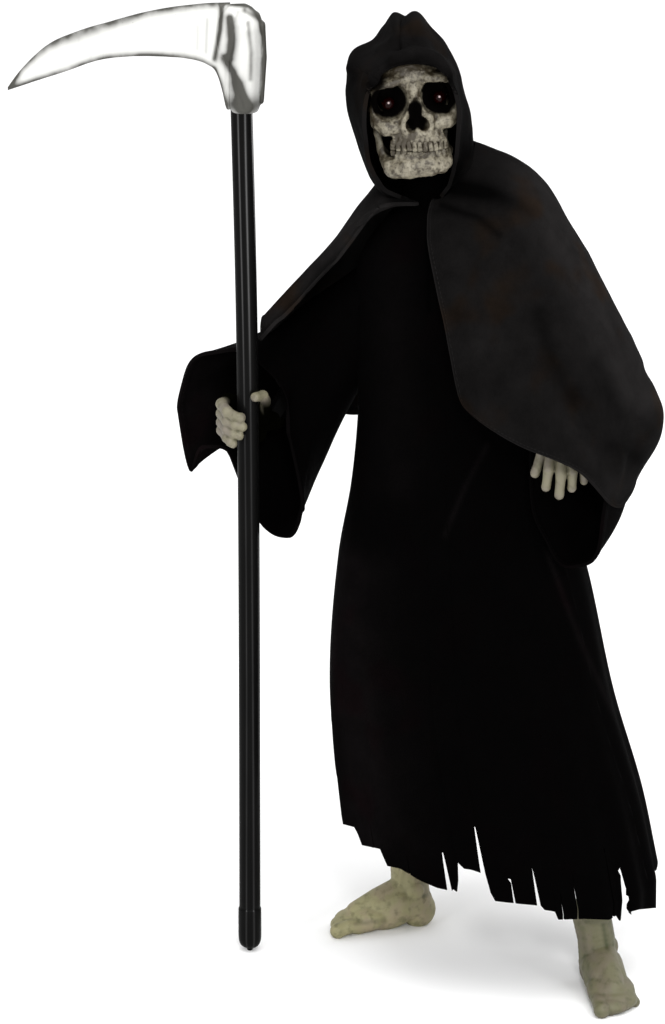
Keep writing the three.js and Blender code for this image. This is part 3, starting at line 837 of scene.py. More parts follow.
@dataclass(frozen=True)
class PaintedFlesh:
    """Grey-green plastic with pinkish and brown patches and dark green in its creases; on the hands, flat
    black is painted shade where they lie in the sleeve's shade and behind.
    """

    name: str
    pale: Colour
    patch: Colour
    crease: Colour
    roughness: float = 0.5
    black: Colour = (0.001, 0.001, 0.0005, 1.0)

    def make(self) -> Material:
        """Builds the finish.

        Returns:
            Its material.
        """
        finish = Finish(self.name)
        place = finish.place()
        blotch = finish.cloud(place, 130.0, 3.0, 0.6).between(0.44, 0.62)
        streak = finish.cloud(place, 420.0, 3.0, 0.55)
        hollow = finish.kept("wash")
        skin = finish.mix(blotch, self.pale, self.patch)
        stain = (hollow + streak.between(0.48, 0.76) * 0.5).clamp()
        finish.set(
            Base_Color=finish.mix(stain, skin, self.crease),
            Roughness=(self.roughness + streak * 0.15).clamp(),
            Specular_IOR_Level=0.4,
            Normal=finish.bump(streak, 0.0002, 0.6),
        )
        # Flat black over the hands is painted shade.
        finish.paint_and_shade_over(finish.kept("paint").clamp(), self.black)
        return finish.material


@dataclass(frozen=True)
class SilverPaint:
    """Bright silver over a cast blade, with dark wash left in its grooves, darker bands along its edges, and
    painted shade along its outline.
    """

    name: str = "silver_paint"
    bright: Colour = (0.58, 0.58, 0.56, 1.0)
    grime_and_shade: Colour = (0.035, 0.034, 0.028, 1.0)

    def make(self) -> Material:
        """Builds the finish.

        Returns:
            Its material.
        """
        finish = Finish(self.name)
        place = finish.place()
        streak = finish.cloud(finish.scaled(place, (700.0, 300.0, 110.0)), 1.0, 4.0, 0.6)
        speck = finish.cloud(place, 900.0, 3.0, 0.6)
        hollow = finish.kept("wash")
        # Painted shade: darker where the surface turns away from the view, along the outline.
        rim = finish.node("ShaderNodeLayerWeight", {}, {"Blend": 0.5}, "Facing").between(0.72, 0.98)
        worn = streak.between(0.58, 0.85) * 0.16
        stain = (hollow + rim * 0.85 + worn + speck.between(0.68, 0.8) * 0.3).clamp()
        finish.set(
            Base_Color=finish.mix(stain, self.bright, self.grime_and_shade),
            Metallic=0.3,
            Roughness=(0.34 + streak * 0.22).clamp(),
            Normal=finish.bump(streak * 0.7 + speck * 0.3, 0.00018, 0.6),
        )
        return finish.material


@dataclass(frozen=True)
class BlackGloss:
    """Smooth black plastic, rubbed to a gloss along its moulded ridges."""

    name: str = "black_gloss"
    colour: float = 0.0016

    def make(self) -> Material:
        """Builds the finish.

        Returns:
            Its material.
        """
        finish = Finish(self.name)
        place = finish.place()
        smear = finish.cloud(finish.scaled(place, (500.0, 500.0, 40.0)), 1.0, 3.0, 0.6)
        finish.set(
            Base_Color=finish.mix(smear, shade(self.colour), shade(self.colour * 2.2, 0.02)),
            Roughness=(0.3 + smear * 0.2).clamp(),
            Specular_IOR_Level=0.03,
            Coat_Weight=(finish.kept("ridge") * (0.55 + smear * 0.9)).clamp(),
            Coat_Roughness=0.12,
            Coat_IOR=1.8,
            Normal=finish.bump(smear, 0.00006, 0.5),
        )
        return finish.material


@dataclass(frozen=True)
class RedJewel:
    """Dark red polished glass."""

    name: str = "red_jewel"

    def make(self) -> Material:
        """Builds the finish.

        Returns:
            Its material.
        """
        finish = Finish(self.name)
        depth = finish.cloud(finish.place(), 900.0, 2.0, 0.5)
        finish.set(
            Base_Color=finish.mix(depth, (0.002, 0.0001, 0.0001, 1.0), (0.006, 0.0002, 0.0002, 1.0)),
            Roughness=0.05,
            Specular_IOR_Level=0.1,
            Specular_Tint=(1.0, 0.8, 0.8, 1.0),
        )
        return finish.material


@dataclass(frozen=True)
class DollPlastic:
    """Dull dark plastic of the body under the clothes."""

    name: str = "doll_plastic"

    def make(self) -> Material:
        """Builds the finish.

        Returns:
            Its material.
        """
        finish = Finish(self.name)
        grain = finish.cloud(finish.place(), 700.0, 3.0, 0.55)
        finish.set(
            Base_Color=finish.mix(grain, shade(0.0008, 0.02), shade(0.0016, 0.06)),
            Roughness=(0.5 + grain * 0.2).clamp(),
            Specular_IOR_Level=0.02,
            Normal=finish.bump(grain, 0.0001, 0.5),
        )
        return finish.material


@dataclass(frozen=True)
class StudioFloor:
    """Plain pale paper."""

    name: str = "pale_paper"

    def make(self) -> Material:
        """Builds the finish.

        Returns:
            Its material.
        """
        finish = Finish(self.name)
        finish.set(Base_Color=shade(0.93), Roughness=0.9, Specular_IOR_Level=0.1)
        return finish.material


def dress(piece: Piece, material: Material, slot: str, *nodes: str, smooth: float = 40.0) -> None:
    """Finishes a piece: its place, its material, its body, and the nodes it stands for.

    Args:
        piece: The piece, in the figure's millimetres.
        material: Its material.
        slot: The record's material slot; not used.
        *nodes: CAD nodes that it replaces.
        smooth: The angle in degrees past which an edge stays sharp.
    """
    BENCH.settle(piece, smooth)
    piece.data.materials.clear()
    piece.data.materials.append(material)
    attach(piece, ROOT)
    if nodes:
        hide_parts(*nodes)
    area = sum(face.area for face in piece.data.polygons)
    log.info("%s: %d points, area %.4f", piece.name, len(piece.data.vertices), area)


# The head


@dataclass
class Head:
    """The skull, its teeth and its jewel eyes, in axes with the face towards -Y."""

    centre: Triple = (22.7, -2.0, 275.3)
    roll: float = -6.0
    yaw: float = 5.0
    socket_x: float = 7.5
    socket_half: Triple = (5.65, 7.4, 5.2)
    socket_tilt: float = 16.0
    bite_z: float = -13.8
    bite_fall: float = 0.1
    chin_z: float = -22.6
    chin_y: float = -15.2
    jaw_x: float = -0.9
    jaw_half_width: float = 7.2
    tooth_count: int = 11
    root_count: int = 5
    tooth_arc: float = 8.2
    eye_radius: float = 1.9
    # The flat polished on the front of each eye: its radius, and the way it looks, in degrees.
    flat_radius: float = 0.44
    flat_turn: float = 1.8
    flat_rise: float = 19.1
    eye_z: float = -0.4
    eye_y: float = -11.6
    # Ridges of bone on each side, with their radii: beside the socket, the cheekbone, the arch
    # behind it, and beside the nose.
    ridges: tuple[tuple[tuple[Triple, ...], tuple[float, ...]], ...] = (
        (((10.4, -10.8, 5.4), (12, -10, 0.6), (11.3, -11.8, -5.2)), (1.5, 1.3, 2.1)),
        (((11.1, -11.6, -5.6), (9.2, -13.6, -6.9), (6, -14.4, -7.4)), (2.2, 2.5, 2)),
        (((11.2, -11, -5.8), (11.8, -6, -6.4), (11.6, 2, -5.6)), (2, 1.4, 1.4)),
        (((2.2, -15.6, 1.4), (3.5, -16.2, -2.6), (4.1, -16.2, -6.6), (3.2, -16.2, -9.6)), (0.9, 0.9, 1, 1.3)),
    )
    grain: float = 0.34
    segments: int = 32
    crack_depth: float = 0.3

    def turn(self) -> Matrix:
        """Finds how the head is held.

        Returns:
            The matrix from the head's axes to the figure's.
        """
        roll = Matrix.Rotation(math.radians(self.roll), 4, "Y")
        yaw = Matrix.Rotation(math.radians(self.yaw), 4, "Z")
        return Matrix.Translation(self.centre) @ yaw @ roll

    def bones(self) -> Clay:
        """Builds up the cranium, the face and the lower jaw.

        Returns:
            The lump.
        """
        clay = Clay(self.grain, self.segments)
        clay.ball((0, 2, 3.4), (12, 16.6, 13.6))
        clay.ball((0, -4.5, 5), (10.8, 11.2, 10.2))
        clay.ball((0, -9, -4), (9.4, 7.4, 10.4))
        clay.ball((0, -11, -10.4), (7.6, 6.2, 4.6))
        clay.pair((6.6, -13.6, 6.2), (5, 2.4, 1.7), (0, 10, 8))
        clay.ball((0, -14.4, 4.6), (3, 2, 3))
        clay.limb([(0, -15, 4.4), (0, -16.2, 2.4), (0, -16.9, 0.6)], [1.9, 1.3, 1.1])
        for side in Side:
            x = side.value
            for joints, radii in self.ridges:
                clay.limb([(x * out, y, z) for out, y, z in joints], radii)
            for root in range(self.root_count):
                top = (x * (0.8 + root * 1.5), -16.6 + 0.12 * root**2, -9.4)
                foot = (x * (0.8 + root * 1.6), -16.8 + 0.14 * root**2, -12)
                clay.limb([top, foot], [0.55, 0.75])
        self.jaw(clay)
        return clay

    def jaw(self, clay: Clay) -> None:
        """Adds the lower jaw.

        Args:
            clay: The lump that it is added to.
        """
        wide = self.jaw_half_width
        shift = self.jaw_x
        level = self.chin_z + 3.4
        for side in Side:
            x = side.value
            clay.limb(
                [
                    (x * (wide + 3.4) + shift, -6.4, -6.5),
                    (x * (wide + 2.9) + shift, -8.2, self.chin_z + 9.4),
                    (x * (wide + 1.5) + shift, -9.6, level + 1.8),
                    (x * (wide + 0.2) + shift, self.chin_y + 2.4, level - 0.2),
                    (x * 3.6 + shift, self.chin_y, level - 0.4),
                    (shift, self.chin_y - 0.2, level - 0.3),
                ],
                [1.2, 1.35, 2.2, 2.9, 3.1, 3.1],
            )
            clay.ball((x * 6.3 + shift, self.chin_y + 0.6, self.chin_z + 2.4), (3, 2.6, 2.4))
            for root in range(self.root_count):
                top = (x * (0.8 + root * 1.55), -15.8 + 0.12 * root**2, -15.6)
                foot = (x * (0.8 + root * 1.5), -16.2 + 0.14 * root**2, -18.6)
                clay.limb([top, foot], [0.75, 0.6])
        clay.ball((shift, self.chin_y + 1.6, (self.chin_z + self.bite_z) / 2 - 0.4), (wide - 0.4, 3.4, 3.6))

    def hollows(self) -> Clay:
        """Builds up the sockets, the nose and the temples that are cut out.

        Returns:
            The lump.
        """
        clay = Clay(self.grain, self.segments)
        wide, deep, tall = self.socket_half
        clay.pair((self.socket_x, -16.4, 0.1), (wide, deep, tall), (0, self.socket_tilt, 0))
        clay.pair((self.socket_x - 2.7, -16.2, 2.6), (wide * 0.52, deep * 0.9, tall * 0.56), (0, 24, 0))
        clay.pair((self.socket_x + 1.2, -16, -1.4), (wide * 0.72, deep * 0.9, tall * 0.62), (0, 10, 0))
        clay.pair((1.7, -17.6, -6.5), (1.8, 4.8, 2.3), (0, -10, 0))
        clay.ball((-0.2, -18, -2.9), (2.2, 4.8, 5), (0, 6, 0))
        clay.ball((0.2, -18, -6), (1.5, 4.4, 2))
        clay.ball((12, -9, -13.4), (3.1, 8, 4.4))
        clay.ball((-8.9, -12, -12.6), (1.5, 6.5, 3.8), (0, -8, 0))
        clay.pair((15, -8.5, 2.4), (3, 5.6, 5.6))
        clay.limb([(1.5, 3, -40), (1.5, 3, -9)], [6.6, 6.6])
        return clay

    def paint(self, places: Array) -> Array:
        """Says how much flat black covers each point: black paint in the sockets and the nose, and painted
        shadow at the temple, beside the jaw and under the chin.

        Args:
            places: Points in the head's axes.

        Returns:
            A number from 0 to 1 for each point.
        """
        wide, _, tall = self.socket_half
        tilt = math.radians(self.socket_tilt)
        left, depth, height = places.T
        amount = np.zeros(len(places))
        for side in Side:
            x = left * side.value - self.socket_x
            z = height - (0.6 if side is Side.RIGHT else 0.0)
            across = x * math.cos(tilt) - z * math.sin(tilt)
            up = x * math.sin(tilt) + z * math.cos(tilt)
            inside = np.hypot(across / (wide * 1.02), up / (tall * 1.03))
            behind = smooth_step(-14.9, -13.6, depth)
            socket = smooth_step(1.03, 0.86, inside) * (depth < -2) * np.maximum(behind, 0.55)
            amount = np.maximum(amount, socket)
            # Painted shadow beside the jaw, where the hood hangs close.
            middle, half = (11.4, 3.4) if side is Side.LEFT else (8.7, 1.7)
            cheek = np.hypot((x + self.socket_x - middle) / half, (height + 13.0) / 4.2)
            amount = np.maximum(amount, smooth_step(1.15, 0.7, cheek) * (depth > -12.5) * 0.85)
        nose = np.hypot(left / 3.8, (height + 4.7) / 5.9)
        amount = np.maximum(amount, smooth_step(1.15, 0.7, nose) * smooth_step(-16.4, -15.2, depth))
        # Painted shadow of the hood's brow at the right temple.
        temple = np.hypot((left + 11.2) / 3.6, (height - 7.0) / 3.4)
        amount = np.maximum(amount, smooth_step(1.2, 0.6, temple) * (depth < -2) * 0.95)
        # Painted shade under the chin.
        under = smooth_step(self.chin_z - 0.2, self.chin_z - 1.4, height)
        return np.maximum(amount, under * 0.8)

    def tooth(self, name: str, wide: float, tall: float) -> Piece:
        """Models one tooth about its middle from a rounded block.

        Args:
            name: The piece's name.
            wide: Its width in millimetres.
            tall: Its height in millimetres.

        Returns:
            The tooth.
        """
        BENCH.clear()
        bpy.ops.mesh.primitive_cube_add(size=1.0, scale=(wide, 1.9, tall))
        piece = bpy.context.object
        piece.name = name
        bpy.ops.object.transform_apply(location=True, rotation=True, scale=True)
        BENCH.modify(piece, "BEVEL", width=wide * 0.28, segments=3, limit_method="NONE")
        places = BENCH.points(piece)
        narrow = 1 - 0.22 * smooth_step(-tall / 2, tall / 2, places[:, 2])
        places[:, 0] *= narrow
        BENCH.place(piece, places)
        return piece

    def tooth_row(self, sign: int) -> Piece:
        """Copies a tooth along the arch of one jaw.

        Args:
            sign: 1 for the upper jaw, -1 for the lower one.

        Returns:
            The row of teeth.
        """
        closeness, tall = (1.07, 3.1) if sign > 0 else (1.24, 1.9)
        wide = 2 * self.tooth_arc / self.tooth_count * closeness
        model = self.tooth("tooth", wide, tall)
        row = []
        rule = random.Random(7 + sign)
        for index in range(self.tooth_count):
            across = (index + 0.5) / self.tooth_count * 2 - 1
            copy = model.copy()
            copy.data = model.data.copy()
            bpy.context.collection.objects.link(copy)
            y = -16.9 + 3.6 * across * across + (1.2 if sign < 0 else 0.0)
            bite = self.bite_z - self.bite_fall * (across + 1) * self.tooth_arc
            z = bite + sign * (tall / 2 + 0.08 + rule.uniform(-0.14, 0.24))
            spin = Matrix.Rotation(math.radians(across * 40), 4, "Z")
            lean = Matrix.Rotation(math.radians(rule.uniform(-8, 8)), 4, "Y")
            over = Matrix.Identity(4) if sign > 0 else Matrix.Rotation(math.pi, 4, "Y")
            copy.data.transform(Matrix.Translation((across * self.tooth_arc, y, z)) @ spin @ lean @ over)
            row.append(copy)
        bpy.data.objects.remove(model)
        return BENCH.join("tooth_row", row)

    def eye(self, side: Side, material: Material, node: str) -> None:
        """Models and dresses one jewel eye, a polished ball with a small flat on its front.

        Args:
            side: Which eye.
            material: The jewel's material.
            node: The solid it replaces.
        """
        BENCH.clear()
        bpy.ops.mesh.primitive_uv_sphere_add(segments=32, ring_count=48, radius=self.eye_radius)
        piece = bpy.context.object
        piece.name = piece.data.name = f"{side.name.lower()}_jewel"
        places = BENCH.points(piece)
        places[:, 2] = np.minimum(places[:, 2], math.sqrt(self.eye_radius**2 - self.flat_radius**2))
        BENCH.place(piece, places)
        turn, rise = math.radians(self.flat_turn), math.radians(self.flat_rise)
        ahead = Vector((math.sin(turn) * math.cos(rise), -math.cos(turn) * math.cos(rise), math.sin(rise)))
        piece.data.transform(ahead.to_track_quat("Z", "Y").to_matrix().to_4x4())
        middle = self.turn() @ Vector((side.value * self.socket_x, self.eye_y, self.eye_z))
        piece.data.transform(Matrix.Translation(middle))
        dress(piece, material, "red_jewel", node)

    def build(self) -> None:
        """Models and dresses the head."""
        bone = AgedBone().make()
        skull = self.bones().fired("skull_bone", 3, self.hollows())
        places = BENCH.points(skull)
        normals = BENCH.normals(skull)
        cracked = wander(places, 2.6, 4.0, 4)
        BENCH.place(skull, places + normals * (cracked * self.crack_depth)[:, None])
        cavity = np.clip(wash_of(skull, 14) * 3.2, 0.0, 1.0)
        bite = self.bite_z - self.bite_fall * (places[:, 0] + self.tooth_arc)
        teeth_zone = np.exp(-((places[:, 2] - bite) / 1.1) ** 2) * (places[:, 1] < -10)
        # Painted shade of the hood's overhang, darker towards the top of the forehead.
        brow = smooth_step(2.0, 9.0, places[:, 2]) * 0.2 + smooth_step(7.0, 12.0, places[:, 2]) * 0.5
        brow = brow * (1 + 0.9 * wander(places, 3.0, 31.0, 3))
        # Painted shade down the face's right side.
        flank_shade = smooth_step(-7.0, -12.0, places[:, 0]) * smooth_step(-8.0, -2.0, places[:, 2]) * 0.4
        # Painted shadow of the hood's brow above the right socket.
        over_eye_shadow = 0.12 * np.exp(-(((places[:, 0] + 8.0) / 4.4) ** 2) - ((places[:, 2] - 6.2) / 2.4) ** 2)
        under_nose = 0.35 * np.exp(-(((places[:, 0] + 6.0) / 3.2) ** 2) - ((places[:, 2] + 11.0) / 2.2) ** 2)
        wash_and_painted_shade = (cavity, teeth_zone * 0.6, brow, flank_shade, over_eye_shadow, under_nose)
        BENCH.attribute(skull, "wash", np.clip(sum(wash_and_painted_shade), 0, 1))
        BENCH.attribute(skull, "paint", self.paint(places))
        skull.data.transform(self.turn())
        dress(skull, bone, "bone_plastic", "skull")
        for sign, name in ((1, "upper_teeth"), (-1, "lower_teeth")):
            teeth = self.tooth_row(sign)
            teeth.name = teeth.data.name = name
            places = BENCH.points(teeth)
            root = smooth_step(1.4, 3.0, np.abs(places[:, 2] - self.bite_z))
            tip = smooth_step(0.8, 0.0, np.abs(places[:, 2] - self.bite_z))
            stained = wander(places, 1.6, 9.0, 3) * 0.5
            BENCH.attribute(teeth, "wash", np.clip(0.05 + 0.45 * root + 0.25 * tip + stained, 0, 1))
            BENCH.attribute(teeth, "paint", np.zeros(len(places)))
            teeth.data.transform(self.turn())
            dress(teeth, bone, "bone_plastic")
        jewel = RedJewel().make()
        self.eye(Side.RIGHT, jewel, "right_eye")
        self.eye(Side.LEFT, jewel, "left_eye")


# Hands and feet


@dataclass
class Hands:
    """Both hands: the right one grips the scythe, the left one hangs."""

    grip: Pair = (-25.35, 4.0)
    right_wrist: Triple = (-17.5, 15.5, 168.5)
    left_wrist: Triple = (74.0, -21.0, 176.4)
    finger_levels: tuple[float, ...] = (176.4, 173.5, 170.7, 168.2)
    finger_tips: tuple[float, ...] = (-2.0, -1.5, -2.5, -4.4)
    shaft_radius: float = 3.3
    grain: float = 0.26

    def right(self) -> Piece:
        """Models the gripping hand.

        Returns:
            The hand.
        """
        clay = Clay(self.grain, 16)
        x, y = self.grip

        def by_shaft(dx: float, dy: float, z: float) -> Triple:
            """Gives a point beside the shaft."""
            return (x + dx, y + dy, z)

        clay.limb([self.right_wrist, by_shaft(2.4, 10.6, 168.6), by_shaft(-3.4, 9.6, 168.6)], [3.4, 4, 3.8])
        clay.limb([by_shaft(2.6, 9.8, 164.4), by_shaft(-4.2, 8.8, 164.6)], [3, 2.8])
        clay.limb([by_shaft(2.6, 9.8, 171.6), by_shaft(-4.2, 8.8, 172)], [2.8, 2.6])
        for finger, z in enumerate(self.finger_levels):
            radius = 1.74 - finger * 0.05
            tip = self.finger_tips[finger]
            clay.limb(
                [
                    by_shaft(-1.2, 10, z - 2),
                    by_shaft(-6.2, 7.4, z - 0.6),
                    by_shaft(-7.9, 1.6, z - 0.2),
                    by_shaft(-6.2, -3.8, z - 0.9),
                    by_shaft((tip - 6.2) / 2, -5.5, z - 1.7),
                    by_shaft(tip, -5.4, z - 2.3),
                ],
                [2.2, radius + 0.3, radius + 0.15, radius + 0.1, radius - 0.14, radius - 0.2],
                0.88,
            )
        clay.limb(
            [
                by_shaft(3, 10.4, 166.6),
                by_shaft(4.8, 7, 171.5),
                by_shaft(5.2, 3, 176.8),
                by_shaft(4.5, -1.2, 179.6),
                by_shaft(2.3, -4.3, 180.2),
            ],
            [2.4, 1.8, 1.8, 1.8, 1.5],
            0.94,
        )
        room = Clay(self.grain, 24)
        room.limb([(x + 0.05, y, 155), (x - 0.1, y - 0.3, 185)], [self.shaft_radius, self.shaft_radius])
        return clay.fired("right_hand_skin", 3, room)

    def left(self) -> Piece:
        """Models the hanging hand, with its fingers together and its thumb at the side.

        Returns:
            The hand.
        """
        clay = Clay(self.grain, 16)
        clay.limb([self.left_wrist, (72.4, -25.4, 175.8), (69.6, -27.8, 174)], [3.2, 3.8, 4])
        clay.limb([(66, -27.8, 174.2), (73.6, -26.4, 172.6)], [2.4, 2.3])
        fingers = [
            ((64.4, -29.2, 173.6), 63, 161.4, 1.62),
            ((67.8, -30, 173.4), 66.9, 159.2, 1.68),
            ((70.9, -29.6, 172.8), 70.6, 161.2, 1.58),
            ((73.8, -28.4, 172), 74.2, 163, 1.42),
        ]
        for (x, y, z), tip_x, tip_z, radius in fingers:
            middle = (x + (tip_x - x) * 0.5, y - 2.4, z - (z - tip_z) * 0.5)
            end = (tip_x, y - 1.6, tip_z + 0.4)
            radii = [2.3, radius + 0.25, radius + 0.1, radius - 0.15]
            clay.limb([(70, -26.6, 175), (x, y, z), middle, end], radii, 0.9)
        clay.limb([(68, -26, 175), (62, -27.6, 171.8), (59.8, -28.8, 165.4)], [2.6, 1.9, 1.5], 0.88)
        return clay.fired("left_hand_skin", 3)

    def build(self) -> None:
        """Models and dresses both hands."""
        skin = PaintedFlesh(
            "painted_hand",
            (0.142, 0.13, 0.085, 1),
            (0.136, 0.118, 0.092, 1),
            (0.028, 0.026, 0.006, 1),
        ).make()
        for piece, node in ((self.right(), "right_hand"), (self.left(), "left_hand")):
            places = BENCH.points(piece)
            hollow = wash_of(piece, 10) * 5.0
            # Painted shade, drawn as flat black: the right hand's palm and wrist in the sleeve's shade and
            # its side behind the shaft, the left hand's top in the sleeve's shade and its back.
            if node == "right_hand":
                sleeve_shade = smooth_step(-22.4, -20.4, places[:, 0]) * smooth_step(180.0, 174.5, places[:, 2])
                behind = smooth_step(5.0, 9.0, places[:, 1])
            else:
                sleeve_shade = smooth_step(172.0, 175.0, places[:, 2])
                behind = smooth_step(-27.4, -25.4, places[:, 1])
            BENCH.attribute(piece, "wash", np.clip(hollow, 0, 1))
            BENCH.attribute(piece, "paint", np.maximum(sleeve_shade, behind))
            dress(piece, skin, "flesh_plastic", node)


@dataclass
class Feet:
    """Both bare feet, each modelled with its heel at the origin and its toes towards -Y."""

    length: float = 35.5
    ball_half_width: float = 7.5
    height: float = 29.8
    sole: float = 0.1
    grain: float = 0.32
    crease: Colour = (0.03, 0.034, 0.008, 1.0)
    heels: dict[Side, tuple[Pair, float]] = field(default_factory=lambda: {
        Side.RIGHT: ((32.0, 30.6), -76.0),
        Side.LEFT: ((79.0, -14.5), 13.0),
    })

    # Green lines painted on.
    stains: tuple[Mark, ...] = (
        (((81.3, -124), (82.4, -131)), 0.7, 0.8),
        (((84.4, -124.4), (83.6, -129)), 1.6, 0.35),
        (((75, -125), (77.6, -143)), 0.8, 0.4),
        (((7, -123.6), (15.6, -122.6)), 0.9, 0.45),
        (((27.4, -112), (28, -114.6)), 1.4, 0.4),
        (((78.4, -150.5), (90, -150)), 1.2, 0.35),
    )

    def model(self, side: Side) -> Piece:
        """Models one foot.

        Args:
            side: Which foot.

        Returns:
            The foot, in the figure's axes.
        """
        out = side.value
        clay = Clay(self.grain, 20)
        wide = self.ball_half_width
        clay.ball((0, -5.6, 5), (5.4, 5.6, 6))
        clay.limb([(0, -7, 7.6), (0, -12, 7.8), (0, -18, 6.2)], [6, 6.5, 6])
        clay.ball((0, -15, 5.4), (6.6, 10, 5.8), (14, 0, 0))
        clay.ball((0, -22, 4.2), (wide - 0.1, 8.6, 4.6), (10, 0, 0))
        clay.limb([(0, -11, 11.6), (0, -18, 8.6), (0, -25, 5.4)], [4.6, 4.4, 3.8])
        clay.ball((0, -27, 3), (wide - 0.6, 5.4, 3.2), (4, 0, 0))
        clay.ball((-out * 1.4, -29.8, 2.5), (5.6, 4.2, 2.4), (2, 0, out * 10))
        clay.ball((-out * 3.4, -25.6, 3), (3.8, 4.4, 3.1))
        clay.limb([(0, -7.6, 8), (-1, -8.2, 16), (-2.7, -8, self.height - 5.4)], [6, 5.8, 6])
        clay.pair((4.5, -7.6, 12.6), (1.5, 2.9, 2.8))
        for toe in range(5):
            across = out * (-0.76 + 1.6 * toe / 4) * wide
            radius = 2.5 if toe == 0 else 2.05 - toe * 0.1
            reach = self.length - radius - 0.3 - toe * 1.75
            root, middle = (across * 0.86, -22.5, 3.4), (across * 0.97, -reach + 3.4, radius + 0.7)
            clay.limb(
                [root, middle, (across, -reach, radius * 0.92)],
                [radius * 0.95, radius * 0.92, radius],
                0.94,
            )
            if toe < 4:
                clay.limb([(across * 0.35, -11, 11.2), (across * 0.9, -25, 4.5)], [1, 0.85])
        clay.limb([(out * -2.6, -10.4, 24), (out * -3, -12.6, 12)], [0.9, 0.7])
        foot = clay.fired(f"{side.name.lower()}_foot_skin", 5)
        BENCH.cut_below(foot, self.sole)
        places = BENCH.points(foot)
        places[:, 2] -= places[:, 2].min()
        BENCH.place(foot, places)
        return foot

    def build(self) -> None:
        """Models and dresses both feet."""
        # The back foot is drawn lighter as painted light, and the front foot darker as painted shade.
        lit_and_shaded_tones = {
            Side.RIGHT: ((0.23, 0.213, 0.108, 1.0), (0.236, 0.2, 0.12, 1.0)),
            Side.LEFT: ((0.09, 0.085, 0.044, 1.0), (0.1, 0.086, 0.056, 1.0)),
        }
        for side, ((x, y), turn) in self.heels.items():
            pale, patch = lit_and_shaded_tones[side]
            name = f"{side.name.lower()}_foot"
            skin = PaintedFlesh(f"painted_{name}", pale, patch, self.crease).make()
            foot = self.model(side)
            foot.data.transform(Matrix.Translation((x, y, 0)) @ Matrix.Rotation(math.radians(turn), 4, "Z"))
            stain = wash_of(foot, 10) * 2.4 + marked(SIGHT.seen(BENCH.points(foot)), self.stains)
            BENCH.attribute(foot, "wash", np.clip(stain, 0.0, 1.0))
            dress(foot, skin, "flesh_plastic", name)


# The scythe


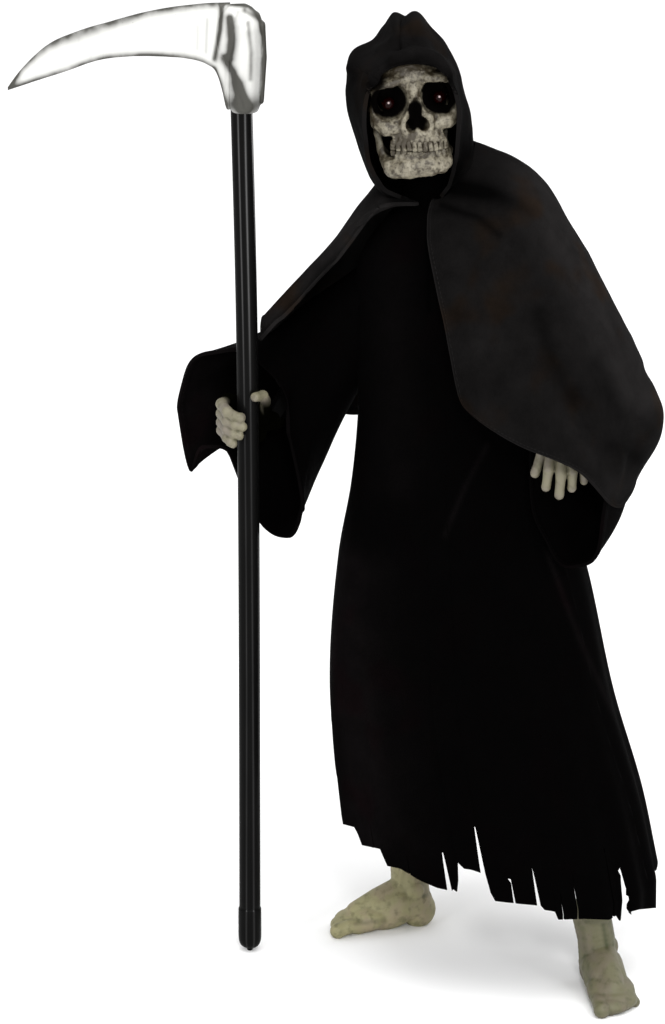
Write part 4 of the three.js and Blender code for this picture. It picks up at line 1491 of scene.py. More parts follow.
@dataclass
class Scythe:
    """The scythe: a long black shaft, and a silver blade cast in one with its socket."""

    radius: float = 3.25
    path: tuple[Triple, ...] = (
        (-25.4, 7, 3), (-25.2, 5, 125), (-25.6, 3, 205), (-27, 1, 277),
    )
    tip: tuple[Pair, ...] = (
        (-3, 0.02), (-3, 0.75), (-2.5, 0.95), (-2.15, 1.1), (-1.75, 2.1), (-1, 2.9), (0.2, 3.38),
        (1.6, 3.52), (4, 3.55), (10.2, 3.52), (10.9, 3.4), (11.4, 3.25),
    )
    tip_share: float = 0.16
    # The moulded ridges that shine: direction round the shaft and half-width, in degrees.
    ridges: tuple[Pair, ...] = (
        (-108, 3.6), (-68, 4.4), (-18, 8), (32, 6), (76, 5), (118, 5), (168, 7),
    )
    root_x: float = -30.0
    tip_x: float = -95.6
    # The blade's back and its cutting edge from the root to the tip: X and height.
    spine: tuple[Pair, ...] = (
        (-30, 300.8), (-38.5, 300.4), (-52.6, 298.4), (-63.7, 295.5), (-75, 292), (-83.4, 288.2),
        (-91.6, 280.6), (-95.6, 275.2),
    )
    belly: tuple[Pair, ...] = (
        (-30, 268.4), (-31.4, 269), (-32.4, 273.8), (-34.1, 279.4), (-36.8, 282), (-42.5, 283.8),
        (-49.7, 284.4), (-61.1, 284.4), (-69.3, 283.2), (-77.8, 280.2), (-86.3, 277.4), (-95.6, 274.2),
    )
    thickness: float = 3.0
    # Dark wash seen on the front.
    stains: tuple[Mark, ...] = (
        (((-33.2, 152.3), (-33.8, 144.7), (-35.4, 136)), 0.8, 1.1),
        (((-30.8, 148.3), (-30.3, 141.7), (-30.9, 136.3)), 1.3, 1.3),
        (((-32.6, 136.3), (-29.9, 132.1), (-27.8, 126.1), (-26, 121.4)), 1.2, 1.3),
        (((-28.4, 128.2), (-26.9, 121)), 2.1, 1),
        (((-21.2, 149), (-20, 138.7), (-20.7, 122)), 1, 1.4),
        (((-35.4, 133), (-33.4, 128), (-32.4, 120.5)), 0.8, 0.9),
        (((-32, 122.4), (-21.6, 122)), 2.6, 0.75),
        (((-33.2, 153), (-25.1, 152), (-21.5, 149), (-20.9, 144.7)), 0.9, 1),
        (((-26.4, 150.6), (-22.6, 148.4)), 0.8, 0.7),
        (((-25.4, 147), (-24.4, 138), (-24.6, 130)), 0.7, 0.6),
        (((-37.6, 148), (-38, 138)), 0.5, 0.35),
        (((-40.4, 146), (-40.6, 139)), 0.45, 0.25),
        (((-66, 135), (-56, 137.2), (-48, 137)), 0.9, 0.22),
    )
    socket_foot: float = 268.0
    grain: float = 0.3
    socket_y: float = 1.0

    def shaft(self) -> Piece:
        """Sweeps the shaft along its path, with a rounded lower end.

        Returns:
            The shaft.
        """
        path = np.array(self.path)
        tip = np.array(self.tip)
        share = self.tip_share

        def shape(u: Array, v: Array) -> Array:
            """Gives the skin: the end's profile first, and then the straight shaft.

            Args:
                u: Places round it, from 0 to 1.
                v: Places along it, from 0 to 1.

            Returns:
                Points in millimetres.
            """
            low = v < share
            end = profile(np.column_stack([np.linspace(0, 1, len(tip)), tip]), v / share)
            along = np.clip((v - share) / (1 - share), 0.0, 1.0)
            start = tip[-1, 0] / (path[-1, 2] - path[0, 2])
            centre = spline(path, start + (1 - start) * along)
            foot = path[0] + np.column_stack([np.zeros_like(u), np.zeros_like(u), end[:, 0]])
            middle = np.where(low[:, None], foot, centre)
            radius = np.where(low, end[:, 1], self.radius)
            angle = u * 2 * math.pi
            ring = np.column_stack([np.cos(angle), np.sin(angle), np.zeros_like(u)])
            return middle + ring * radius[:, None]

        piece = BENCH.grid("shaft_pole", 96, 150, shape, closed=True)
        BENCH.close_ends(piece)
        places = BENCH.points(piece)
        heights = (places[:, 2] - path[0, 2]) / (path[-1, 2] - path[0, 2])
        around = places[:, :2] - spline(path, np.clip(heights, 0, 1))[:, :2]
        turn = np.degrees(np.arctan2(around[:, 1], around[:, 0]))
        ridge = np.zeros(len(places))
        for line, wide in self.ridges:
            away = (turn - line + 180) % 360 - 180
            ridge = np.maximum(ridge, np.exp(-((away / wide) ** 2)))
        BENCH.attribute(piece, "ridge", ridge * (0.22 + 0.62 * smooth_step(165, 230, places[:, 2])))
        return piece

    def outline(self, x: Array) -> tuple[Array, Array]:
        """Gives the heights of the blade's spine and of its cutting edge."""
        return profile(self.spine[::-1], x)[:, 0], profile(self.belly[::-1], x)[:, 0]

    def blade(self) -> Piece:
        """Models the blade as a thin lens between its spine and its edge.

        Returns:
            The blade.
        """

        def shape(u: Array, v: Array) -> Array:
            """Gives the skin.

            Args:
                u: Places round the section, from 0 to 1.
                v: Places from the root to the tip, from 0 to 1.

            Returns:
                Points in millimetres.
            """
            x = self.root_x + (self.tip_x - self.root_x) * v
            spine, belly = self.outline(x)
            spine = np.maximum(spine, belly + 0.5)
            angle = u * 2 * math.pi
            rise = (np.cos(angle) + 1) / 2
            body = np.abs(np.sin(angle)) ** 0.62
            half = self.thickness / 2 * (1 - 0.66 * v) * body * (0.22 + 0.78 * rise**0.5)
            height = belly + (spine - belly) * rise
            return np.column_stack([x, self.socket_y + half * np.sign(np.sin(angle)), height])

        piece = BENCH.grid("blade", 80, 200, shape, closed=True)
        BENCH.close_ends(piece)
        places = BENCH.points(piece)
        hammered = wander(places, 7.0, 2.0, 3) * 0.07
        BENCH.place(piece, places + BENCH.normals(piece) * hammered[:, None])
        return piece

    def socket(self) -> Piece:
        """Models the socket as cast lumps fused over the shaft's end, with grooves cut in.

        Returns:
            The socket.
        """
        clay = Clay(self.grain, 28)
        y = self.socket_y
        clay.limb([(-25.9, y, 270.6), (-25.9, y, 276)], [4.7, 4.7])
        clay.limb([(-25.9, y, 276), (-25.6, y, 285), (-25.4, y, 292.5)], [4.75, 5, 4.4])
        clay.ball((-25.6, y, 290.4), (5.2, 3.9, 9.8))
        clay.ball((-29, y, 291), (5.6, 2.9, 9.4), (0, -4, 0))
        clay.limb(
            [(-30.0, y, 298.6), (-26.0, y, 298.7), (-22.6, y, 296.6), (-21.0, y, 292)],
            [1.7, 1.8, 1.5, 1.4],
        )
        clay.limb([(-20.9, y, 294), (-20.3, y, 284), (-21.1, y, 271)], [1.3, 1.1, 1])
        grooves = Clay(self.grain, 20)
        for turn in Side:
            near = turn.value
            grooves.limb([(-30.9, y + 3.9 * near, 297), (-30.7, y + 4.3 * near, 284)], [0.9, 1.2])
            grooves.limb(
                [(-32.0, y + 4.0 * near, 283), (-28.8, y + 5.3 * near, 277), (-26.4, y + 5.7 * near, 269)],
                [1, 1.2, 1.5],
            )
            grooves.limb([(-24.4, y + 5.2 * near, 296), (-23.6, y + 5.4 * near, 278)], [0.8, 0.8])
        piece = clay.fired("socket", 3, grooves)
        BENCH.cut_below(piece, self.socket_foot)
        return piece

    def darkening(self, piece: Piece) -> Array:
        """Says how dark each point of the blade or the socket is drawn.

        Args:
            piece: The blade or the socket.

        Returns:
            A number from 0 to 1 for each point.
        """
        places = BENCH.points(piece)
        x = places[:, 0]
        spine, belly = self.outline(x)
        outer = smooth_step(-31.0, -36.0, x)
        broad = 1.5 + 0.8 * np.exp(-(((x + 74) / 13) ** 2))
        patchy = 0.9 + 0.3 * wander(places, 4.0, 3.0, 3)
        # Darker bands along the spine and the cutting edge, and darker towards the tip.
        darker = np.exp(-((np.maximum(spine - places[:, 2], 0) / broad) ** 2)) * outer
        darker += np.exp(-((np.maximum(places[:, 2] - belly, 0) / 1.25) ** 2)) * outer
        darker += smooth_step(-90.5, -95.0, x) * 0.7
        darker *= patchy
        front = places[:, 1] < self.socket_y + 0.6
        darker += front * marked(SIGHT.seen(places), self.stains) * (0.6 + 0.4 * patchy)
        darker += np.clip(wash_of(piece, 12) * 3.2, 0.0, 1.0) * (x > -36)
        darker += 0.14 * smooth_step(-36, -32, x) * patchy
        return np.clip(darker, 0, 1)

    def build(self) -> None:
        """Models and dresses the scythe."""
        dress(self.shaft(), BlackGloss().make(), "black_gloss", "scythe_shaft")
        blade, socket = self.blade(), self.socket()
        for piece in (blade, socket):
            BENCH.attribute(piece, "wash", self.darkening(piece))
        casting = BENCH.join("blade_casting", [blade, socket])
        dress(casting, SilverPaint().make(), "silver_paint", "scythe_blade")


# Cloth


def thicken_hem(piece: Piece, width: float = 0.0026, height: float = 0.22) -> None:
    """Thickens a finished sheet along its hem, where the cloth is turned in.

    Args:
        piece: The sheet, with its "edge" attribute.
        width: The hem's width in metres.
        height: How much it adds to each side, in millimetres.
    """
    edge = np.empty(len(piece.data.vertices))
    piece.data.attributes["edge"].data.foreach_get("value", edge)
    rise = smooth_step(width * 1.15, width * 0.85, edge) * height
    BENCH.place(piece, BENCH.points(piece) + BENCH.normals(piece) * rise[:, None])


def hem_attributes(piece: Piece, width: float, length: float, torn: bool, fronts: bool) -> None:
    """Scales a sheet's UV map to metres and stores how far each point is from its hem.

    Args:
        piece: The sheet, with its hem at v = 0.
        width: Its width in metres.
        length: Its length in metres.
        torn: Whether the hem is torn off, with no stitches.
        fronts: Whether the sheet is hemmed along u = 0 and u = 1 too.
    """
    mesh = piece.data
    layer = mesh.uv_layers.active
    values = np.empty(len(mesh.loops) * 2)
    layer.data.foreach_get("uv", values)
    uv = values.reshape(-1, 2) * (width, length)
    layer.data.foreach_set("uv", uv.ravel())
    corners = np.empty(len(mesh.loops), int)
    mesh.loops.foreach_get("vertex_index", corners)
    edge = np.zeros(len(mesh.vertices))
    along = np.zeros(len(mesh.vertices))
    edge[corners] = uv[:, 1] + (0.01 if torn else 0.0)
    along[corners] = uv[:, 0]
    if fronts:
        flap = np.full(len(mesh.vertices), 1.0)
        down = np.zeros(len(mesh.vertices))
        flap[corners] = np.minimum(uv[:, 0], width - uv[:, 0]) * (1 - 0.6 * uv[:, 1] / length)
        down[corners] = uv[:, 1]
        along = np.where(flap < edge, down, along)
        edge = np.minimum(edge, flap)
    BENCH.attribute(piece, "edge", edge)
    BENCH.attribute(piece, "along", along)


def sew(piece: Piece, cloth: Material, slot: str, size: Pair, fade_and_painted_light: float, marks: Sequence[Mark],
        thickness: float, inwards: bool = False, torn: bool = False, fronts: bool = False,
        gather: float = 0.0) -> float:
    """Finishes a sheet: its hem, its fading with painted light and painted shade, its thickness and its
    cloth.

    Args:
        piece: The sheet, in millimetres.
        cloth: Its material.
        slot: The record's material slot.
        size: Its width and its length in metres.
        fade_and_painted_light: How faded it is away from the marks.
        marks: Painted light and painted shade, in the view: places drawn lighter, as lit, and darker, as
            shaded.
        thickness: Its thickness in millimetres.
        inwards: Whether all of its thickness lies inside the modelled surface.
        torn: Whether the hem is torn off, with no stitches.
        fronts: Whether the sheet is hemmed along u = 0 and u = 1 too.
        gather: How close points along its seams are to be joined, in millimetres.

    Returns:
        Its area in square metres, before it gets its thickness.
    """
    hem_attributes(piece, *size, torn, fronts)
    # Fading, with painted light and painted shade from the marks.
    faded = fade_and_painted_light + marked(SIGHT.seen(BENCH.points(piece)), marks)
    BENCH.attribute(piece, "fade_and_painted_light", np.clip(faded, 0, 1))
    area = sum(face.area for face in piece.data.polygons) * MM**2
    if gather:
        BENCH.merge(piece, gather)
    BENCH.modify(piece, "SOLIDIFY", thickness=thickness, offset=-1.0 if inwards else 0.0)
    thicken_hem(piece)
    dress(piece, cloth, slot, smooth=60.0)
    return area


# The robe


@dataclass(frozen=True)
class Fold:
    """One fold of hanging cloth.

    Attributes:
        turn: Its direction at the hem, in degrees from +X towards +Y.
        lean: How far it wanders by its top, in degrees.
        width: Its half-width, in degrees.
        height: How far it stands out at the hem, in millimetres.
        top: The height where it dies away.
    """

    turn: float
    lean: float
    width: float
    height: float
    top: float


@dataclass
class Robe:
    """The long robe: a trunk down to a torn hem, and two wide bell sleeves.

    Attributes:
        cloth: The cloth's thickness in millimetres, as in the cape and the hood.
        fade_and_painted_light: How faded it is away from its marks, from 0 to 1, as in the cape and the hood;
            the marks add painted light and painted shade.
    """

    cloth: float = 0.75
    fade_and_painted_light: float = 0.16
    # Height, then the middle and the half-size across X and along Y of each level ring.
    rings: Rows = (
        (31, 52.4, -4, 46.4, 40),
        (56, 47.8, -3, 46, 36),
        (86, 42, -0.4, 43.2, 31),
        (130, 38.6, 2, 37, 24.5),
        (152, 36.8, 2, 31.4, 21),
        (174, 36.5, 2.6, 29, 19.5),
        (224, 34.3, 5, 25.5, 15.4),
        (235, 32, 5, 15.5, 11.5),
        (240, 30, 4.6, 9.6, 9.4),
        (246, 28.4, 3.8, 7.8, 7.6),
        (252, 27.2, 2.8, 7.3, 7.1),
    )
    foot: float = 31.0
    top: float = 252.0
    # How far the hem climbs towards the back foot, and the trunk's reach and length at the slits.
    hem_rise: float = 15.0
    hem_reach: float = 43.0
    slit_length: float = 215.0
    folds: tuple[Fold, ...] = (
        Fold(-162, 10, 7, 2.4, 190), Fold(-140, 16, 6, 1.6, 175), Fold(-122, 24, 8, 2.2, 200),
        Fold(-103, 30, 6, 1.5, 170), Fold(-88, 26, 7, 2, 150), Fold(-70, 12, 6, 1.7, 165),
        Fold(-52, 2, 8, 2.2, 180), Fold(-34, -6, 6, 2.4, 170), Fold(-14, -8, 8, 2.2, 175),
        Fold(8, -6, 7, 2.6, 180), Fold(31, -4, 8, 3, 190), Fold(56, 2, 8, 3, 200),
        Fold(82, 0, 8, 3.2, 205), Fold(108, -2, 8, 3, 200), Fold(134, 4, 9, 3.2, 195),
        Fold(164, 6, 8, 2.6, 185),
    )
    # Panel edges that lap over the cloth behind them: the direction at the hem and at the top,
    # the top's height, how far the edge stands out, and which way the panel lies.
    laps: tuple[tuple[float, float, float, float, int], ...] = (
        (-161, -172, 172, 1.5, 1),
        (-22, -38, 170, 1.8, -1),
        (118, 110, 160, 1.4, 1),
    )
    # The torn hem from the front, in millimetres right and up from the middle of the view.
    torn: tuple[Pair, ...] = (
        (1.5, -93), (2.9, -93.7), (7.4, -94.9), (8.4, -100), (14.3, -101.2), (16.4, -106.3),
        (20.3, -107.1), (26, -110.6), (31.4, -112.9), (35.6, -113.8), (36.6, -110), (37.4, -104.8),
        (39.2, -107.1), (41.9, -107.5), (46.1, -109), (48.2, -116.8), (55, -117.6), (62.9, -118.3),
        (63.5, -119.5), (66.8, -120), (67.4, -122.5), (75, -122.2), (83.3, -122.5), (85.4, -121),
        (86.6, -123.1), (88.4, -120.4), (92, -119.4), (97.2, -118.9),
    )
    # Slits by their place across the view, their half-width and their height.
    slits: tuple[Triple, ...] = (
        (35.4, 0.7, 13), (46.6, 0.6, 16), (61.6, 0.5, 12), (73, 0.28, 15), (83.6, 0.5, 21),
        (87.2, 1.5, 15), (14, 0.4, 8), (54.6, 0.3, 7), (24, 0.3, 6), (68.6, 0.3, 9),
    )
    # Waves of the hem behind: their size, how many go round, and their shift in radians.
    tatters: Rows = ((1.6, 11, 0), (1.1, 17, 1), (0.7, 41, 0))
    # Sleeve sections from the shoulder to the rim: the middle, the direction of the rim, half its
    # width, its height above, its depth below on the near and on the far side, and its lean.
    right_sleeve: Rows = (
        (20, 5, 216, 100, 12, 12, 14, 14, 0),
        (4, 14, 202, 100, 13, 12, 29, 27, 0.04),
        (-8, 19, 190, 85, 14.5, 13, 38, 31, 0.12),
        (-19.5, 19, 178, 62, 17.5, 16, 41.5, 28, 0.19),
        (-29.5, 14.5, 168, 39, 22, 23, 36.5, 18, 0.22),
    )
    # The rim's lower edge across the mouth, from the near side to the far one: place and height.
    right_rim: tuple[Pair, ...] = (
        (-1, -3), (-0.97, -17), (-0.87, -25.5), (-0.755, -30.4), (-0.6, -33.6), (-0.438, -34.8),
        (-0.171, -34.4), (-0.009, -31.2), (0.1, -25.4), (0.186, -18.7), (0.25, -11.6), (0.32, -10.2),
        (0.46, -10.4), (0.58, -11.2), (0.66, -13), (0.72, -15.6), (0.8, -19), (0.88, -18), (0.94, -12),
        (1, 0),
    )
    left_sleeve: Rows = (
        (49, 5, 218, 90, 12, 11, 14, 14, 0),
        (65, 4, 205, 112, 10, 9, 18, 18, 0),
        (78.5, -1, 190, 150, 9.5, 8.5, 27, 27, 0),
        (79, -13, 180, 185, 11, 9, 34, 34, 0),
        (70, -24, 173, 215, 13.5, 8.8, 38, 38, 0),
    )
    # Painted light and painted shade, in the view: lighter where the cloth is lit, darker where it is shaded.
    marks: tuple[Mark, ...] = (
        (((2, -18), (4, -45), (8, -75), (11, -96)), 7, 1),
        (((12, -20), (16, -60), (22, -100)), 9, 0.25),
        (((64.7, -12.9), (74.3, -38.4), (83.9, -59.5)), 0.9, 0.7),
        (((46.4, 19.8), (40, 8), (33.8, -6.9)), 0.9, 0.6),
        (((17, 84), (19, 50), (19, 10)), 7, 0.3),
        (((28.6, 84), (28.8, 60)), 0.5, -0.6),
        (((-44, 44), (-43, 24)), 8, 1.6),
        (((-36, 46), (-30, 48)), 3, 0.5),
        (((17, 97), (36, 97)), 4.5, -1),
    )
    columns: int = 300
    rows: int = 150

    def skin(self, angle: Array, z: Array) -> Array:
        """Gives the trunk's surface.

        Args:
            angle: Directions round the trunk, in radians from +X towards +Y.
            z: Heights in millimetres.

        Returns:
            Points in millimetres.
        """
        x, y, half_x, half_y = profile(self.rings, z).T
        degrees = np.degrees(angle)
        out = np.zeros_like(z)
        for fold in self.folds:
            fall = np.clip((fold.top - z) / (fold.top - self.foot), 0.0, 1.2)
            away = (degrees - fold.turn + fold.lean * fall.clip(0, 1) - fold.lean + 180) % 360 - 180
            wide = fold.width * (1 + 0.5 * (1 - fall.clip(0, 1)))
            share = wide * math.sqrt(math.pi) / 360
            out += fold.height * fall**1.3 * (np.exp(-((away / wide) ** 2)) - share)
        for foot, head, top, height, way in self.laps:
            climb = np.clip((z - self.foot) / (top - self.foot), 0.0, 1.0)
            away = ((degrees - foot - (head - foot) * climb + 180) % 360 - 180) * way
            lap = smooth_step(-0.7, 0.7, away) * np.exp(-np.maximum(away, 0) / 14)
            out += height * (1 - climb) ** 0.5 * lap
        return np.column_stack([x + (half_x + out) * np.cos(angle), y + (half_y + out) * np.sin(angle), z])

    def hem(self, angle: Array) -> Array:
        """Finds the torn hem, from the photograph in front and by rule behind.

        Args:
            angle: Directions round the trunk, in radians.

        Returns:
            The hem's height in each direction.
        """
        back = self.foot + self.hem_rise * (1 - np.cos(angle + 0.5)) / 2
        for size, count, shift in self.tatters:
            back = back - size * np.sin(count * angle + shift)
        z = np.full_like(angle, 34.0)
        right, up = np.array(self.torn).T
        for _ in range(4):
            seen = SIGHT.seen(self.skin(angle, z))
            z = z + (np.interp(seen[:, 0], right, up) - seen[:, 1]) / math.cos(math.radians(SIGHT.elevation))
        front = smooth_step(0.02, -0.14, np.sin(angle))
        return back + (z - back) * front

    def slit_turns(self) -> list[Triple]:
        """Finds the slits round the trunk, with more of them behind.

        Returns:
            The direction in radians, the half-width and the height of each.
        """
        angle = np.linspace(-math.pi, 0, 721)
        seen = SIGHT.seen(self.skin(angle, np.full_like(angle, 36.0)))[:, 0]
        found = [(float(np.interp(across, seen, angle)), wide, tall) for across, wide, tall in self.slits]
        rule = random.Random(11)
        behind = [
            (math.radians(12 + 26 * index + rule.uniform(-6, 6)), rule.uniform(0.3, 0.8), rule.uniform(7, 17))
            for index in range(7)
        ]
        return found + behind

    def trunk(self) -> Piece:
        """Makes the trunk as one sheet, sewn up the back and slit along its hem.

        Returns:
            The trunk's sheet.
        """
        start = math.pi / 2
        slits = self.slit_turns()
        step = 2 * math.pi / self.columns

        def shape(u: Array, v: Array) -> Array:
            """Gives the sheet from the hem at v = 0 to the neck at v = 1.

            Args:
                u: Places across the sheet, from 0 to 1.
                v: Places up the sheet, from 0 to 1.

            Returns:
                Points in millimetres.
            """
            angle = start + u * 2 * math.pi
            foot = self.hem((angle + math.pi) % (2 * math.pi) - math.pi)
            z = foot + (self.top - foot) * v
            for turn, wide, tall in slits:
                column = math.floor(((turn - start) % (2 * math.pi)) / step)
                low = (z - foot) < tall
                open_by = wide / self.hem_reach * (1 - np.clip((z - foot) / tall, 0, 1)) ** 0.7
                for side in Side:
                    edge = np.abs(u * self.columns - column - (side.value + 1) / 2) < 0.01
                    angle = np.where(edge & low, turn + side.value * open_by, angle)
            return self.skin(angle, z)

        piece = BENCH.grid("robe_trunk", self.columns, self.rows, shape)
        self.cut_slits(piece, slits, start, step)
        BENCH.merge(piece)
        return piece

    def cut_slits(self, piece: Piece, slits: Iterable[Triple], start: float, step: float) -> None:
        """Takes out the faces that lie in the slits.

        Args:
            piece: The trunk's sheet, before its seam is sewn.
            slits: Their directions, half-widths and heights.
            start: The direction of the sheet's first column.
            step: The angle between columns.
        """
        sheet = bmesh.new()
        sheet.from_mesh(piece.data)
        layer = sheet.loops.layers.uv.active
        gone = []
        lines = [(math.floor(((turn - start) % (2 * math.pi)) / step), tall) for turn, _, tall in slits]
        for face in sheet.faces:
            u = sum(loop[layer].uv.x for loop in face.loops) / 4
            v = sum(loop[layer].uv.y for loop in face.loops) / 4
            column = math.floor(u * self.columns)
            if any(column == line and v * self.slit_length < tall * 0.93 for line, tall in lines):
                gone.append(face)
        bmesh.ops.delete(sheet, geom=gone, context="FACES")
        sheet.to_mesh(piece.data)
        sheet.free()

    def sleeve(self, name: str, stations: Sequence[Sequence[float]], seed: float, power: float,
               rim: Sequence[Sequence[float]] = ()) -> Piece:
        """Makes one bell sleeve as a sheet sewn under the arm.

        Args:
            name: The piece's name.
            stations: Rows of the middle, the rim's direction, the half-sizes and the lean.
            seed: Moves the folds, so that the sleeves differ.
            power: How full its underside is: 1 for an ellipse, less for a squarer one.
            rim: The rim's lower edge across the mouth, where it isn't a plain curve.

        Returns:
            The sleeve's sheet.
        """

        def shape(u: Array, v: Array) -> Array:
            """Gives the sheet from the rim at v = 0 to the shoulder at v = 1.

            Args:
                u: Places across the sheet, from 0 to 1.
                v: Places up the sheet, from 0 to 1.

            Returns:
                Points in millimetres.
            """
            row = spline(stations, 1 - v)
            middle = row[:, :3]
            turn = np.radians(row[:, 3])
            wide, above, near, far, lean = row[:, 4:].T
            angle = u * 2 * math.pi - math.pi / 2
            across, rise = np.cos(angle), np.sin(angle)
            fold = 1.1 * np.sin(5 * angle + 3 * v + seed) * np.sin(2 * angle - 4 * v + seed * 2)
            fold = fold * (1 - v) ** 0.7
            below = near + (far - near) * smooth_step(-0.1, 0.5, across)
            height = np.where(rise > 0, (above + fold) * rise, -(below + fold) * np.abs(rise) ** power)
            if rim:
                near_rim = (1 - v) ** 2.2 * (rise < 0)
                height += (profile(rim, across)[:, 0] - height) * near_rim
            side = np.column_stack([-np.cos(turn), np.sin(turn), np.zeros_like(turn)])
            points = middle + side * ((wide + fold) * across)[:, None]
            points[:, 2] += height
            points[:, 0] -= np.minimum(0, height) * lean * smooth_step(0.55, 0.3, across)
            return points

        piece = BENCH.grid(name, 180, 120, shape)
        BENCH.merge(piece)
        return piece

    def build(self) -> None:
        """Models and dresses the robe."""
        cloth = SewnCloth("robe_cotton").make()
        trunk = self.trunk()
        right = self.sleeve("right_bell_sleeve", self.right_sleeve, 1.3, 0.8, self.right_rim)
        left = self.sleeve("left_bell_sleeve", self.left_sleeve, 3.1, 0.62)
        sizes = {trunk.name: (0.262, 0.213), right.name: (0.150, 0.075), left.name: (0.125, 0.080)}
        for piece in (trunk, right, left):
            width, length = sizes[piece.name]
            area = sew(piece, cloth, "robe_cloth", (width, length), self.fade_and_painted_light, self.marks, self.cloth,
                       inwards=True, torn=piece is trunk)
        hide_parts("robe")


# The hooded cape


@dataclass
class Cape:
    """The shoulder cape: one curved sheet from the neck over both arms, open at the front."""

    cloth: float = 0.8
    fade_and_painted_light: float = 0.4
    neck: Pair = (29.0, 5.0)
    neck_radius: float = 13.1
    middle: Triple = (29.0, 5.0, 200.0)
    tension: float = 0.28
    # Each rib: its turn at the neck and at the hem, the neck's height, and reach and height of
    # its shoulder, its bend and its hem.
    ribs: Rows = (
        (3, 14, 243.6, 19, 234, 29, 213, 39.4, 186.4),
        (20, 28, 245, 25, 237, 40, 212, 53, 178.6),
        (42, 41, 249.6, 31, 240.4, 52, 206, 64, 171),
        (64, 58, 254, 33, 243.2, 61.4, 194, 64.2, 155),
        (90, 80, 257, 34.4, 242.8, 69, 178.6, 61.4, 156.4),
        (116, 108, 256, 34, 241.4, 60.8, 186, 57, 152),
        (148, 142, 252, 30, 240, 48, 195, 50, 156),
        (180, 180, 250, 26, 238, 38, 199, 43, 159),
        (212, 215, 250.6, 26, 235, 42, 200, 47, 163),
        (245, 243, 249.8, 25, 234, 42, 207, 51, 175),
        (285, 258, 248.8, 24, 234, 38.5, 216, 51, 200),
        (307, 264, 244.6, 24, 234, 35.4, 215, 51.4, 197),
        (343, 268, 242.4, 19.5, 240.8, 35.6, 214.4, 51.6, 196.8),
    )
    front_bow: float = -4.6
    corner: float = 7.0
    size: Pair = (300.0, 85.0)
    columns: int = 260
    rows: int = 110
    # Creases, as marks in millimetres, below 0 for a hollow.
    creases: tuple[Mark, ...] = (
        (((30, 92), (41.3, 90.6), (54, 86.4)), 1.5, -0.8),
        (((33, 88.6), (43, 86.6), (52, 80)), 1.9, 0.6),
        (((48, 98), (60, 90), (73, 76), (86, 52)), 3.4, 0.9),
        (((52, 84), (62, 57), (72, 34)), 3.2, -0.9),
        (((40, 76), (46, 50), (52, 27)), 3.6, -0.7),
        (((66, 60), (78, 38), (84, 14)), 2.6, 1.1),
        (((73.1, 34.5), (82.4, 12)), 2, -1.1),
        (((71.3, 24.9), (86.3, 17.4), (92, 22)), 1.6, 0.8),
        (((93, 42), (90, 24), (86.5, 6)), 2.2, -1),
        (((83, 14.5), (84, 9)), 4.5, 1.5),
        (((10, 88), (-4, 74), (-16, 60)), 1.8, -0.6),
    )
    # Painted light and painted shade, in the view: lighter where the cloth is lit, darker where it is shaded.
    marks: tuple[Mark, ...] = (
        (((60, 97), (70, 84), (82, 60), (93, 36)), 8, 0.8),
        (((15, 92), (-4, 76), (-20, 58)), 2.6, 0.9),
        (((44, 80), (48, 50)), 9, 0.1),
        (((17.3, 97.6), (35.3, 97.6), (50.3, 95), (60, 90)), 3.2, -0.5),
        (((33, 92), (44, 88), (50, 83)), 1.4, -0.3),
        (((62, 60), (66, 44), (72, 34)), 2.8, -0.18),
        (((79, 44), (86, 30)), 3, -0.25),
        (((84, 20), (92, 16)), 2.5, -0.2),
        (((72, 24), (84, 6)), 3, 0.2),
    )

    def rounded(self, u: Array, v: Array) -> tuple[Array, Array]:
        """Rounds the sheet's two front corners by drawing its grid in.

        Args:
            u: Places across the sheet, from 0 to 1.
            v: Places up the sheet, from 0 to 1.

        Returns:
            The places drawn in, across and up.
        """
        width, length = self.size
        across = np.where(u < 0.5, u, 1 - u) * width / self.corner
        up = v * length / self.corner
        near = (across < 1) & (up < 1)
        p, q = 1 - across, 1 - up
        round_p = np.where(near, p * np.sqrt(np.clip(1 - q * q / 2, 0, 1)), p)
        round_q = np.where(near, q * np.sqrt(np.clip(1 - p * p / 2, 0, 1)), q)
        across = (1 - round_p) * self.corner / width
        return np.where(u < 0.5, across, 1 - across), (1 - round_q) * self.corner / length

    def rib_points(self) -> Array:
        """Finds the points that the cape hangs through.

        Returns:
            Each rib's four points, from the neck to the hem.
        """
        points = []
        for neck_turn, hem_turn, neck_z, *rest in self.ribs:
            rings = [(self.neck_radius, neck_z), *zip(rest[::2], rest[1::2])]
            rib = []
            for index, (reach, height) in enumerate(rings):
                turn = math.radians(neck_turn + (hem_turn - neck_turn) * min(1.0, index / 2))
                x, y = self.neck[0] + reach * math.sin(turn), self.neck[1] - reach * math.cos(turn)
                rib.append((x, y, height))
            points.append(rib)
        return np.array(points)

    def sheet(self) -> Piece:
        """Makes the cape's sheet from the hem at v = 0 to the neck at v = 1.

        Returns:
            The sheet.
        """
        ribs = self.rib_points()

        def shape(u: Array, v: Array) -> Array:
            """Passes a surface through the ribs.

            Args:
                u: Places across the sheet, from 0 to 1.
                v: Places up the sheet, from 0 to 1.

            Returns:
                Points in millimetres.
            """
            u, v = self.rounded(u, v)
            levels = np.stack([spline(ribs[:, ring], u) for ring in range(4)], axis=1)
            points = through(levels, (1 - v) * 3, self.tension)
            points[:, 0] += self.front_bow * np.clip(1 - u * 9, 0, 1) * np.sin(math.pi * v) ** 0.8
            return points

        piece = BENCH.grid("cape_sheet", self.columns, self.rows, shape)
        self.drape(piece)
        return piece

